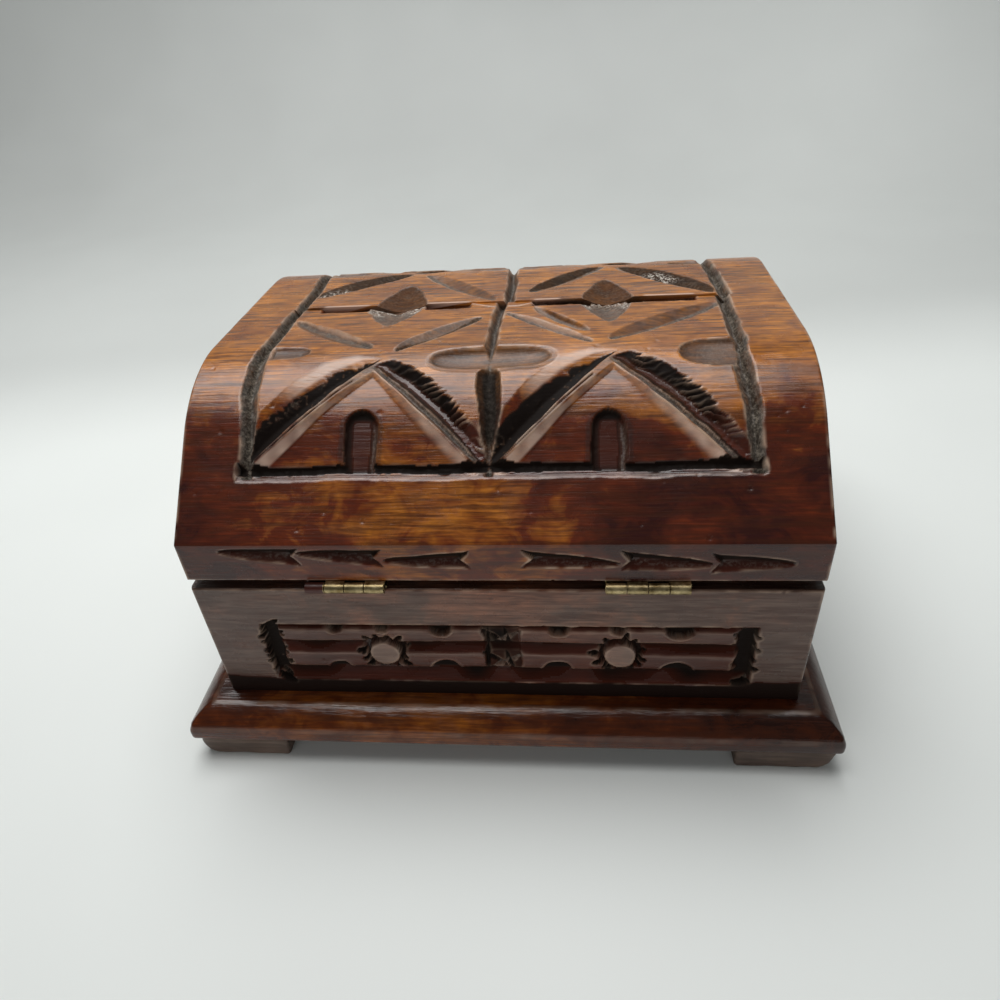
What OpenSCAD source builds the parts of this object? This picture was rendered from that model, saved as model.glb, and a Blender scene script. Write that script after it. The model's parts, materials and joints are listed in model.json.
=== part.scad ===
// Wooden keepsake box with a carved, domed lid on two brass hinges.
// Millimetres, +Z up. The origin is on the surface that the box stands on, under
// the middle of the plinth. The hinged back faces -Y and the lid opens at +Y.

/* [Box] */
// Width of the body and the lid, along the hinge line
box_w = 198; // [186:1:230]
// Depth of the body and the lid, back to front
box_d = 187; // [180:1:205]
// Height of the body walls above the plinth
body_h = 49.4; // [46:0.2:80]
// Thickness of the body boards
wall_t = 10; // [9:0.5:12]

/* [Plinth and feet] */
// How far the plinth stands out past the body
plinth_out = 13.4; // [10:0.2:20]
// Width of the flat ledge between the body and the bevel
plinth_ledge = 5.4; // [3:0.2:7]
// Height of the plinth's upright edge
plinth_edge_h = 5.3; // [3:0.1:9]
// Height that the bevel rises above the edge
plinth_bevel_h = 5.9; // [4:0.1:8]
// How far the bevel swells above a straight slope
plinth_swell = 0.8; // [0.4:0.1:1.2]
// Side of each square foot
foot_size = 34; // [24:1:44]
// Height of the feet
foot_h = 9.2; // [7:0.1:14]
// How far each foot sits in from the plinth's edge
foot_inset = 0.8; // [0.2:0.1:4]
// Radius of each foot's outer lower edge
foot_round = 6; // [2:0.1:6.8]

/* [Lid] */
// Height of the upright band round the lid
band_h = 14.3; // [11:0.1:20]
// Length of the straight slope above the band
slope_len = 36; // [30:0.5:42]
// Steepness of that slope, in degrees from level
slope_angle = 44; // [40:1:48]
// Radius of the shoulder between the slope and the flat top
shoulder_r = 51; // [44:1:58]
// Thickness of the two carved planks
plank_t = 12; // [10:0.5:13]
// Thickness of the two boards that close the lid's ends
lid_end_t = 10; // [8:0.5:14]
// Room round the edge of those boards for glue
glue_gap = 0.1; // [0.05:0.01:0.2]
// Room left between the closed lid and the front rim
rim_clear = 0.3; // [0.3:0.05:0.8]

/* [Hinges] */
// Length of each hinge along its pin
hinge_len = 25.4; // [20:0.2:36]
// Distance of each hinge's middle from the box's middle
hinge_x = 46.8; // [30:0.2:66]
// Outer diameter of the knuckles, which is also the gap under the lid's back
knuckle_d = 3.5; // [3.2:0.1:4.5]
// How far the pin's axis stands out behind the back board
pin_out = 1.2; // [0.9:0.1:1.6]
// Diameter of the hinge pin
pin_d = 1.5; // [1:0.1:1.6]
// Running clearance round the pin in a turning knuckle
pin_clear = 0.1; // [0.05:0.01:0.14]
// Thickness of the leaves
leaf_t = 0.8; // [0.6:0.05:0.9]
// Width of the part of a leaf that lies on the wood
leaf_w = 8.2; // [6.8:0.1:8.6]
// End play between neighbouring knuckles
knuckle_play = 0.3; // [0.2:0.05:0.5]
// Diameter of a screw's head
screw_head_d = 3.6; // [3:0.1:4]
// Diameter of a screw's shank
screw_d = 1.8; // [1.4:0.1:2.2]
// Length of a screw with its head
screw_len = 7; // [5:0.5:8]

/* [Carving on the lid] */
// Distance from each end of the lid to the middle of its border groove
end_strip = 20; // [17:0.5:24]
// Distance from the band up the slope to the middle of the lower border groove
border_up = 21.5; // [18:0.5:24]
// Width of the border grooves
groove_w = 4.4; // [3:0.1:5.5]
// Depth of the border grooves
groove_d = 3; // [2:0.1:4]
// Height of a gable above the border groove, measured along the lid
gable_h = 39; // [34:0.5:42]
// Half the width of a gable at its foot
gable_r = 35; // [28:0.5:36]
// Width of the gouges outside a gable's legs
gouge_w = 7.5; // [5:0.5:9]
// Depth of the gouges outside a gable's legs
gouge_d = 3; // [2:0.1:4]
// Width of the bevel along the inside of a gable's legs
bevel_w = 3; // [2:0.1:4]
// Depth of the field inside a gable
field_d = 1.4; // [0.8:0.1:2]
// Half the width of the arched niche
niche_r = 7; // [5:0.5:8]
// Height of the arched niche above the border groove
niche_h = 20.5; // [16:0.5:22]
// Depth of the arched niche
niche_d = 3.6; // [2.5:0.1:4.5]
// Distance of the lens gouges above the border groove
lens_up = 40.3; // [37:0.1:44]
// Half the length of the middle lens gouge
lens_l = 21.5; // [16:0.5:26]
// Half the width of a lens gouge
lens_r = 7; // [5:0.5:7.5]
// Depth of a lens gouge
lens_d = 2.4; // [1.5:0.1:3.5]
// Half the width of the diamond that four leaf cuts outline
diamond_x = 34; // [28:0.5:36]
// Half the length of that diamond, back to front
diamond_u = 36; // [30:0.5:38]
// Half the width of a leaf cut
leaf_cut_r = 3; // [2:0.1:4]
// Depth of a leaf cut
leaf_cut_d = 2; // [1.2:0.1:3]
// Half the width of the star on the ridge
star_x = 10.5; // [7:0.5:14]
// Half the length of the star, back to front
star_u = 21; // [15:0.5:24]
// Depth of the star
star_d = 3.2; // [2:0.1:4]
// Depth of the slots along the ridge beside a star
slot_d = 1.4; // [0.8:0.1:2]
// Length of a fishtail cut on the band
fishtail_l = 27; // [22:0.5:28]
// Half the height of a fishtail cut
fishtail_r = 3.8; // [2.5:0.1:4.5]
// Depth of a fishtail cut
fishtail_d = 2.2; // [1.5:0.1:3]

/* [Carved panels on the body] */
// Plain margin between a panel and the corner of the body
panel_side = 18; // [16:0.5:24]
// Plain margin under a panel
panel_foot = 6; // [5:0.2:9]
// Height of a panel
panel_h = 27.4; // [26:0.2:32]
// Depth of a panel
panel_d = 3.5; // [2.5:0.1:4.5]
// Radius of the upper raised strip
upper_strip_r = 3.25; // [2.4:0.05:3.3]
// Radius of the lower raised strip
lower_strip_r = 2.6; // [2:0.05:2.9]
// Radius of a round boss
boss_r = 5.3; // [4:0.1:6]
// Radius of a half-round nick in a strip
nick_r = 3.6; // [2.4:0.1:4]

/* [Hidden] */

$fn = 64;
wood = "#6b3218";
dark_wood = "#4a2415";
brass = "#a8925a";

// Levels from the floor up, and the back face
plinth_h = plinth_edge_h + plinth_bevel_h;
floor_z = foot_h + plinth_h;
rim_z = floor_z + body_h;
lid_z = rim_z + knuckle_d;
band_z = lid_z + band_h;
back_y = -box_d / 2;
plinth_x = box_w / 2 + plinth_out;
plinth_y = box_d / 2 + plinth_out;

// Hinge line, and how far the closed lid leans down towards the front rim
pin_y = back_y - pin_out;
pin_z = rim_z + knuckle_d / 2;
lean = asin((knuckle_d - rim_clear) / (box_d + pin_out));

// Outer profile of the lid's back half, with u measured along it from the band.
// The shoulder is an arc about [shoulder_y, shoulder_z].
shoulder_y = back_y + slope_len * cos(slope_angle) + shoulder_r * sin(slope_angle);
shoulder_z = band_z + slope_len * sin(slope_angle) - shoulder_r * cos(slope_angle);
top_z = shoulder_z + shoulder_r;
shoulder_u = slope_len + shoulder_r * slope_angle * PI / 180;
ridge_u = shoulder_u - shoulder_y;

// Middle lines of the carving
border_x = box_w / 2 - end_strip;
half_panel_x = border_x / 2;
gable_u = border_up + gable_h;
lens_u = border_up + lens_up;
fishtail_first = 7;                       // from the middle to the first tail
fishtail_z = lid_z + band_h * 0.56;       // a little above the band's middle

above = 0.6;      // how far the body of a cutting tool stands above the wood
bite = 0.05;      // overshoot of a cut past a face that it ends on
pin_seat = 0.02;  // room round the pin in the knuckles that hold it
pilot = 0.03;     // room round a screw in the wood and in its countersink
knuckle_l = hinge_len / 4;
screw_y = back_y + leaf_w * 0.6;
screw_dx = hinge_len * 0.3;

// Angle of the lid's profile above level at u
function lid_angle(u) =
    u < slope_len ? slope_angle
    : u < shoulder_u ? slope_angle - (u - slope_len) * 180 / (PI * shoulder_r)
    : 0;

// Point of the lid's profile at u, as [y, z]
function lid_profile(u) =
    u < slope_len ? [back_y + u * cos(slope_angle), band_z + u * sin(slope_angle)]
    : u < shoulder_u ? [shoulder_y - shoulder_r * sin(lid_angle(u)),
                        shoulder_z + shoulder_r * cos(lid_angle(u))]
    : [shoulder_y + u - shoulder_u, top_z];

// Point at x and u that lies h above the lid's surface
function on_lid(x, u, h) =
    let (p = lid_profile(u), a = lid_angle(u))
    [x, p[0] - h * sin(a), p[1] + h * cos(a)];

// Straight path up the lid from p to q, each [x, u], with stops round the shoulder
function path_up(p, q) =
    let (arc = shoulder_u - slope_len,
         stops = [for (k = [0 : 6]) slope_len + arc * k / 6],
         inner = [for (u = stops) if (u > p[1] + 0.4 && u < q[1] - 0.4) u])
    [for (u = concat([p[1]], inner, [q[1]])) p + (q - p) * (u - p[1]) / (q[1] - p[1])];

// Straight path from p to q in n equal steps
function path_along(p, q, n) = [for (i = [0 : n]) p + (q - p) * i / n];

// Sections of a cut as lists of [across, down], from rim to rim
vee = [[-1, 0], [0, 1], [1, 0]];
scoop = [[-1, 0], [-0.72, 0.6], [-0.36, 0.92], [0, 1], [0.36, 0.92], [0.72, 0.6], [1, 0]];
trough = [[-1, 0], [-0.88, 0.7], [-0.5, 1], [0.5, 1], [0.88, 0.7], [1, 0]];
leg_side = [[-1, 0], [-0.55, 0.62], [-0.1, 1], [0.12, 0]];

// Section of a tool that cuts r to each side at the wood's surface and d deep,
// shrunk by s where the tool lifts out of the wood, with a crown over the middle
function tool(shape, r, d, s = 1) =
    concat([for (p = shape) [p[0] * r * (d + above) / d * s, above - (d + above) * p[1] * s]],
           [[0, 3 * above]]);

// How much of its full size a tool has along a leaf-shaped cut of n steps
function swell(n) = [for (i = [0 : n]) max(sin(180 * i / n), 0.02)];

// Sweeps one section per path point over the lid's surface. Each path point is
// [x, u] and each section a list of [across, height] with as many points.
module carve(path, sections) {
    n = len(path);
    k = len(sections[0]);
    points = [for (i = [0 : n - 1])
        let (d = path[min(i + 1, n - 1)] - path[max(i - 1, 0)], t = d / norm(d))
        for (s = sections[i]) on_lid(path[i][0] + s[0] * t[1], path[i][1] - s[0] * t[0], s[1])];
    sides = [for (i = [0 : n - 2]) for (j = [0 : k - 1])
        let (a = i * k + j, b = i * k + (j + 1) % k)
        each [[a, b, b + k], [a, b + k, a + k]]];
    last = (n - 1) * k;
    ends = [for (j = [1 : k - 2]) each [[0, j + 1, j], [last, last + j, last + j + 1]]];
    polyhedron(points, concat(sides, ends), convexity = 6);
}

// A groove of even depth
module groove(path) {
    carve(path, [for (p = path) tool(vee, groove_w / 2, groove_d)]);
}

// Half of the border: one side, half the foot, and half of the middle groove
module border() {
    corner = groove_w * 0.3;
    groove(path_up([border_x, border_up - corner], [border_x, ridge_u + 1]));
    groove(path_along([-1, border_up], [border_x + corner, border_up], 1));
    groove(path_up([0, border_up], [0, ridge_u + 1]));
}

// The gable about x = 0: a gouge outside each leg, a field bevelled to the legs,
// and an arched niche in the field
module gable() {
    foot_u = border_up + groove_w / 2 - 0.4;
    leg = path_up([-gable_r, foot_u], [0, gable_u]);
    for (side = [0, 1]) {
        mirror([side, 0, 0]) carve(leg, [for (p = leg) tool(leg_side, gouge_w, gouge_d)]);
    }
    rise = path_up([0, foot_u], [0, gable_u - 6]);
    flare = above * bevel_w / field_d;
    carve(rise, [for (p = rise)
        let (r = gable_r * (gable_u - p[1]) / (gable_u - foot_u) - 1)
        [[-r - flare, above], [-r + bevel_w, -field_d], [r - bevel_w, -field_d], [r + flare, above]]]);
    straight = niche_h - niche_r * 0.9;
    turn = [for (a = [0 : 15 : 75]) [straight + niche_r * 0.9 * sin(a), cos(a)]];
    arch = concat([[groove_w / 2 + 0.2, 1]], turn, [[niche_h, 0.12]]);
    carve([for (p = arch) [0, border_up + p[0]]],
        [for (p = arch) tool(trough, niche_r * p[1], niche_d, 0.4 + 0.6 * sqrt(p[1]))]);
}

// The whole lens gouge on the middle groove, and the one that dies in the border
module lenses() {
    grow = swell(12);
    middle = path_along([-lens_l, lens_u], [lens_l, lens_u], 12);
    carve(middle, [for (i = [0 : 12]) tool(scoop, lens_r, lens_d, sqrt(grow[i]))]);
    side = path_along([border_x - lens_l, lens_u], [border_x, lens_u], 6);
    for (m = [0, 1]) {
        mirror([m, 0, 0]) carve(side, [for (i = [0 : 6]) tool(scoop, lens_r * 0.85, lens_d, sqrt(grow[i]))]);
    }
}

// Half of the diamond about x = 0, its leaf cuts, and half of the star in it
module diamond() {
    leaf = path_up([-3, ridge_u - diamond_u], [-diamond_x, ridge_u - 9.5]);
    blade = path_along(leaf[0], leaf[len(leaf) - 1], 8);
    for (side = [0, 1]) {
        mirror([side, 0, 0]) carve(blade, [for (s = swell(8)) tool(vee, leaf_cut_r, leaf_cut_d, s)]);
    }
    ray = path_along([0, ridge_u - star_u], [0, ridge_u + 3], 5);
    carve(ray, [for (p = ray)
        let (s = 1 - abs(ridge_u - p[1]) / star_u) tool(scoop, star_x, star_d, max(s, 0.03))]);
    slot = path_along([star_x + 2, ridge_u], [diamond_x - 3, ridge_u], 6);
    for (side = [0, 1]) {
        mirror([side, 0, 0]) carve(slot, [for (s = swell(6)) tool(vee, 1.8, slot_d, s)]);
    }
}

// One fishtail cut with its tail at x = 0, on the band's back face
module fishtail() {
    notch = fishtail_l * 0.17;
    out = -above;
    points = [[fishtail_l, out, 0], [0, out, fishtail_r], [notch, out, 0], [0, out, -fishtail_r],
              [fishtail_l * 0.7, fishtail_d * 0.55, 0], [notch + 0.6, fishtail_d, 0]];
    faces = [[0, 2, 1], [0, 3, 2], [0, 1, 4], [4, 1, 5], [0, 4, 3], [4, 5, 3], [1, 2, 5], [3, 5, 2]];
    translate([0, back_y, fishtail_z]) polyhedron(points, faces);
}

// All the carving on the back half of the lid
module half_carving() {
    for (side = [0, 1]) {
        mirror([side, 0, 0]) {
            border();
            translate([half_panel_x, 0, 0]) gable();
            translate([half_panel_x, 0, 0]) diamond();
            for (i = [0 : 2]) {
                translate([fishtail_first + i * fishtail_l, 0, 0]) fishtail();
            }
        }
    }
    lenses();
}

// Cross-section of the lid, drawn in by t under the slope and top and by w at the
// band, from the level z0 up
module dome(t, w, z0) {
    r = shoulder_r - t;
    half = box_d / 2 - w;
    low = [shoulder_y - r * sin(slope_angle), shoulder_z + r * cos(slope_angle)];
    high = [shoulder_y, top_z - t];
    corner = [shoulder_y - r * tan(slope_angle / 2), top_z - t];
    wall_z = low[1] - (low[0] + half) * tan(slope_angle);
    polygon([[-half, z0], [-half, wall_z], low, high, [-high[0], high[1]],
             [-low[0], low[1]], [half, wall_z], [half, z0]]);
    for (side = [0, 1]) {
        mirror([side, 0]) intersection() {
            polygon([low, corner, high, [high[0], high[1] - 2], [low[0] + 2, low[1] - 2]]);
            translate([shoulder_y, shoulder_z]) circle(r, $fn = 180);
        }
    }
}

// Extrudes a [y, z] outline along X, from x to x + l
module along_x(x, l) {
    translate([x, 0, 0]) rotate([90, 0, 90]) linear_extrude(l) children();
}

// Puts the lid, drawn level, into its closed place on the hinge line
module closed() {
    translate([0, pin_y, pin_z]) rotate([-lean, 0, 0]) translate([0, -pin_y, -pin_z]) children();
}

// The back plank of the lid, drawn level
module plank() {
    difference() {
        along_x(-box_w / 2, box_w) intersection() {
            difference() {
                dome(0, 0, lid_z);
                dome(plank_t, wall_t, lid_z - bite);
            }
            translate([-box_d, lid_z]) square([box_d, box_d]);
        }
        half_carving();
    }
}

module lid_back_half() {
    color(wood) closed() difference() {
        plank();
        screw_holes([0, 0, lid_z], 0);
    }
}

module lid_front_half() {
    color(wood) closed() mirror([0, 1, 0]) plank();
}

module lid_end(x) {
    color(dark_wood) closed() along_x(x, lid_end_t) dome(plank_t + glue_gap, wall_t + glue_gap, lid_z);
}

module lid_left_end() { lid_end(-box_w / 2); }

module lid_right_end() { lid_end(box_w / 2 - lid_end_t); }

// The recess of a carved panel, half_l to each side of x = 0, in a board whose face
// lies at y = 0 and looks towards -Y; what stays standing is left out of the cut
module panel_cut(half_l, boss_x, nicks_x) {
    upper_z = panel_foot + panel_h * 0.777;
    lower_z = panel_foot + panel_h * 0.3;
    boss_z = panel_foot + panel_h * 0.5;
    end_gap = 4;
    difference() {
        translate([-half_l, -bite, panel_foot]) cube([2 * half_l, panel_d + bite, panel_h]);
        difference() {
            for (s = [[upper_z, upper_strip_r], [lower_z, lower_strip_r]]) {
                translate([end_gap - half_l, panel_d, s[0]]) rotate([0, 90, 0])
                    cylinder(r = s[1], h = 2 * (half_l - end_gap));
            }
            for (x = nicks_x) {
                facing_y(x, upper_z + upper_strip_r, nick_r * 0.8);
                facing_y(x, lower_z - lower_strip_r, nick_r);
            }
            for (x = boss_x) facing_y(x, boss_z, boss_r + 1.2);
        }
        for (x = boss_x) facing_y(x, boss_z, boss_r);
    }
}

// A round bar square to the board's face, longer than the panel is deep
module facing_y(x, z, r) {
    translate([x, -1, z]) rotate([-90, 0, 0]) cylinder(r = r, h = panel_d + 2);
}

// Carved back or front board, with its face at y = 0 and its foot at z = 0
module long_board() {
    half_l = box_w / 2 - panel_side;
    difference() {
        translate([-box_w / 2, 0, 0]) cube([box_w, wall_t, body_h]);
        panel_cut(half_l, [-half_panel_x, half_panel_x],
            [for (k = [-3, -1, 1, 3]) k * half_panel_x / 2]);
    }
}

module body_back_board() {
    color(wood) difference() {
        translate([0, back_y, floor_z]) long_board();
        screw_holes([0, 0, rim_z], 1);
    }
}

module body_front_board() {
    color(wood) rotate([0, 0, 180]) translate([0, back_y, floor_z]) long_board();
}

// Board between the back and front boards, with its carved face turned to -X
module end_board() {
    half_l = box_d / 2 - panel_side;
    color(dark_wood) rotate([0, 0, -90]) translate([0, -box_w / 2, floor_z]) difference() {
        translate([wall_t - box_d / 2, 0, 0]) cube([box_d - 2 * wall_t, wall_t, body_h]);
        panel_cut(half_l, [0], [-half_l * 0.5, half_l * 0.5]);
    }
}

module body_left_end() { end_board(); }

module body_right_end() { mirror([1, 0, 0]) end_board(); }

// Half cross-section of the plinth towards one side, half_w from the middle
module plinth_section(half_w) {
    slope_w = plinth_out - plinth_ledge;
    chord = norm([slope_w, plinth_bevel_h]);
    r = (chord * chord / 4 + plinth_swell * plinth_swell) / (2 * plinth_swell);
    foot = [half_w, plinth_edge_h];
    head = [half_w - slope_w, plinth_h];
    normal = [plinth_bevel_h, slope_w] / chord;
    centre = (foot + head) / 2 + normal * (plinth_swell - r);
    crest = (foot + head) / 2 + normal * plinth_swell * 1.5;
    for (side = [0, 1]) {
        mirror([side, 0]) {
            polygon([[-bite, 0], [half_w, 0], foot, head, [-bite, plinth_h]]);
            intersection() {
                polygon([foot, crest, head, (foot + head) / 2 - normal]);
                translate(centre) circle(r, $fn = 180);
            }
        }
    }
}

module plinth() {
    color(wood) translate([0, 0, foot_h]) intersection() {
        along_x(-plinth_x, 2 * plinth_x) plinth_section(plinth_y);
        rotate([0, 0, 90]) along_x(-plinth_y, 2 * plinth_y) plinth_section(plinth_x);
    }
}

// Foot under the corner at +X and +Y
module foot(side_x, side_y) {
    color(dark_wood) mirror([side_x, 0, 0]) mirror([0, side_y, 0])
        translate([plinth_x - foot_inset - foot_size, plinth_y - foot_inset, 0])
        rotate([90, 0, 0]) linear_extrude(foot_size) difference() {
            square([foot_size, foot_h]);
            translate([foot_size - foot_round, 0]) difference() {
                translate([0, -bite]) square([foot_round + bite, foot_round + bite]);
                translate([0, foot_round]) circle(foot_round);
            }
        }
}

module foot_back_left() { foot(1, 1); }

module foot_back_right() { foot(0, 1); }

module foot_front_left() { foot(1, 0); }

module foot_front_right() { foot(0, 0); }

// A leaf that lies on the wood under the pin, with its knuckles, about x = 0.
// It holds every second knuckle place from first; bore_r is the hole in them.
module leaf(first, bore_r) {
    other = 1 - first;
    clear_y = knuckle_d / 2 + 0.3;
    plate_z = -knuckle_d / 2;
    difference() {
        union() {
            translate([-hinge_len / 2, 0, plate_z]) cube([hinge_len, pin_out + leaf_w, leaf_t]);
            for (i = [first, first + 2]) {
                translate([i * knuckle_l - hinge_len / 2 + knuckle_play / 2, 0, 0]) rotate([0, 90, 0])
                    cylinder(d = knuckle_d, h = knuckle_l - knuckle_play);
            }
        }
        for (i = [other, other + 2]) {
            translate([i * knuckle_l - hinge_len / 2 - knuckle_play / 2, -bite, plate_z - bite])
                cube([knuckle_l + knuckle_play, clear_y + bite, knuckle_d]);
        }
        translate([-hinge_len / 2 - 1, 0, 0]) rotate([0, 90, 0]) cylinder(r = bore_r, h = hinge_len + 2);
        for (x = [-screw_dx, screw_dx]) {
            translate([x, screw_y - pin_y, plate_z - bite])
                cylinder(r1 = screw_d / 2 + pilot, r2 = screw_head_d / 2 + pilot, h = leaf_t + 2 * bite);
        }
    }
}

module body_leaf(x) {
    color(brass) translate([x, pin_y, pin_z]) leaf(0, pin_d / 2 + pin_seat);
}

module lid_leaf(x) {
    color(brass) closed() translate([x, pin_y, pin_z]) mirror([0, 0, 1]) leaf(1, pin_d / 2 + pin_clear);
}

module hinge_pin(x) {
    color(brass) translate([x - hinge_len / 2, pin_y, pin_z]) rotate([0, 90, 0])
        cylinder(d = pin_d, h = hinge_len);
}

module hinge_left_body_leaf() { body_leaf(-hinge_x); }

module hinge_left_lid_leaf() { lid_leaf(-hinge_x); }

module hinge_left_pin() { hinge_pin(-hinge_x); }

module hinge_right_body_leaf() { body_leaf(hinge_x); }

module hinge_right_lid_leaf() { lid_leaf(hinge_x); }

module hinge_right_pin() { hinge_pin(hinge_x); }

// The four places of the screws in one row of leaves
module at_screws() {
    for (hinge = [-hinge_x, hinge_x]) {
        for (dx = [-screw_dx, screw_dx]) {
            translate([hinge + dx, screw_y, 0]) children();
        }
    }
}

// Pilot holes into the wood from the face at origin, downwards if down is 1
module screw_holes(origin, down) {
    deep = screw_len - leaf_t + 0.4;
    translate(origin) mirror([0, 0, down]) at_screws() translate([0, 0, -bite])
        cylinder(r = screw_d / 2 + pilot, h = deep + bite);
}

// A countersunk screw that points down, with the top of its head at z = 0
module screw() {
    translate([0, 0, -leaf_t]) cylinder(d1 = screw_d, d2 = screw_head_d, h = leaf_t);
    translate([0, 0, -screw_len]) cylinder(d = screw_d, h = screw_len - leaf_t);
}

module body_hinge_screws() {
    color(brass) translate([0, 0, rim_z + leaf_t]) at_screws() screw();
}

module lid_hinge_screws() {
    color(brass) closed() translate([0, 0, lid_z - leaf_t]) mirror([0, 0, 1]) at_screws() screw();
}

plinth();
foot_back_left();
foot_back_right();
foot_front_left();
foot_front_right();
body_back_board();
body_front_board();
body_left_end();
body_right_end();
lid_back_half();
lid_front_half();
lid_left_end();
lid_right_end();
hinge_left_body_leaf();
hinge_left_lid_leaf();
hinge_left_pin();
hinge_right_body_leaf();
hinge_right_lid_leaf();
hinge_right_pin();
body_hinge_screws();
lid_hinge_screws();
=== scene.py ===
"""The looks of a carved keepsake box in varnished wood with aged brass hinges, round the
fixed frame. Carving is worked out in millimetres on flat or developed faces."""
import json
import math

import bpy
import numpy as np
from mathutils import Matrix, Vector


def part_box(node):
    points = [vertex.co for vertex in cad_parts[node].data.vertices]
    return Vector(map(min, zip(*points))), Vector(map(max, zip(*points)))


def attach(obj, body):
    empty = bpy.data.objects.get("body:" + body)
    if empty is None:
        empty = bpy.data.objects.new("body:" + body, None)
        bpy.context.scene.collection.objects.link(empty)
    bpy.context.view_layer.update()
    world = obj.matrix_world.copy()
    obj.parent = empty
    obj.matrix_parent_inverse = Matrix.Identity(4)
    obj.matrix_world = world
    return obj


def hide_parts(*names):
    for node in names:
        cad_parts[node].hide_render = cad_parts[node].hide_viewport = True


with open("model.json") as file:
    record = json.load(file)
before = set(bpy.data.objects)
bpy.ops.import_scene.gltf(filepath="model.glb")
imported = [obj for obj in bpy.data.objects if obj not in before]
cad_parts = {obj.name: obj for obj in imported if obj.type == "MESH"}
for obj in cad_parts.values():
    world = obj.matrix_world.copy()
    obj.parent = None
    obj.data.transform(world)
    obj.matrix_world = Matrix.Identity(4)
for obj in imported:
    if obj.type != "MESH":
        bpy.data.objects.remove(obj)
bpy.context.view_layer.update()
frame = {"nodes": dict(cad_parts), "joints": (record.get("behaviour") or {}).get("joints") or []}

MM = 0.001
STEP = 0.45          # spacing of the carved grids, in mm


def box_mm(node):
    """Lowest and highest corner of a CAD node, in millimetres."""
    return [np.array(corner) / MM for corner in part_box(node)]


# -------- sizes of the frame
board_low, board_high = box_mm("body_back_board")
HALF_W = board_high[0]                      # half the width of the body and the lid
BACK_Y = board_low[1]
WALL = board_high[1] - board_low[1]
FLOOR_Z = board_low[2]
RIM_Z = board_high[2]
BODY_H = RIM_Z - FLOOR_Z

plinth_low, plinth_high = box_mm("plinth")
PLINTH_X, PLINTH_Y, FOOT_H = plinth_high[0], plinth_high[1], plinth_low[2]

PIN_Y, PIN_Z = (value / MM for value in frame["joints"][0]["pos_m"][1:])
KNUCKLE_R = PIN_Z - RIM_Z
LID_Z = RIM_Z + 2 * KNUCKLE_R
RIM_CLEAR = 0.3
LEAN = math.asin((2 * KNUCKLE_R - RIM_CLEAR) / -(BACK_Y + PIN_Y))

# Profile of the lid, as the frame has it
BAND_H = 14.3
SLOPE_LEN = 36
SLOPE_ANGLE = math.radians(44)
SLOPE_Y, SLOPE_Z = math.cos(SLOPE_ANGLE), math.sin(SLOPE_ANGLE)
SHOULDER_R = 51
PLANK_T = 12
BAND_Z = LID_Z + BAND_H
SHOULDER_Y = BACK_Y + SLOPE_LEN * SLOPE_Y + SHOULDER_R * SLOPE_Z
SHOULDER_Z = BAND_Z + SLOPE_LEN * SLOPE_Z - SHOULDER_R * SLOPE_Y
TOP_Z = SHOULDER_Z + SHOULDER_R
SHOULDER_U = SLOPE_LEN + SHOULDER_R * SLOPE_ANGLE
RIDGE_U = SHOULDER_U - SHOULDER_Y


# -------- carved fields
def noise(x, y, size, seed):
    """Smooth random values from -1 to 1, with features of about that size."""
    table = np.random.default_rng(seed).uniform(-1, 1, (256, 256))
    x, y = np.asarray(x, float) / size, np.asarray(y, float) / size
    i, j = np.floor(x).astype(int), np.floor(y).astype(int)
    fx, fy = x - i, y - j
    fx, fy = fx * fx * (3 - 2 * fx), fy * fy * (3 - 2 * fy)

    def at(a, b):
        return table[(i + a) % 256, (j + b) % 256]

    low = at(0, 0) * (1 - fx) + at(1, 0) * fx
    high = at(0, 1) * (1 - fx) + at(1, 1) * fx
    return low * (1 - fy) + high * fy


def unit(value):
    """The value kept within 0 and 1."""
    return np.clip(value, 0, 1)


def smooth(value, low, high):
    """0 below low, 1 above high, and a smooth step between them."""
    t = unit((value - low) / (high - low))
    return t * t * (3 - 2 * t)


def fade(value, low, high):
    """1 below low, 0 above high, and a smooth step between them."""
    return 1 - smooth(value, low, high)


def window(value, a, b, c, d):
    """1 from b to c, 0 before a and after d, and smooth steps between them."""
    return smooth(value, a, b) * fade(value, c, d)


def blur(values, cells):
    """Gaussian blur of a grid, by that many cells."""
    pad = int(3 * cells) + 1
    wide = np.pad(values, pad, mode="edge")
    fv = np.fft.fftfreq(wide.shape[0])[:, None]
    fx = np.fft.rfftfreq(wide.shape[1])[None, :]
    gauss = np.exp(-2 * (math.pi * cells) ** 2 * (fv * fv + fx * fx))
    return np.fft.irfft2(np.fft.rfft2(wide) * gauss, wide.shape)[pad:-pad, pad:-pad]


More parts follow.
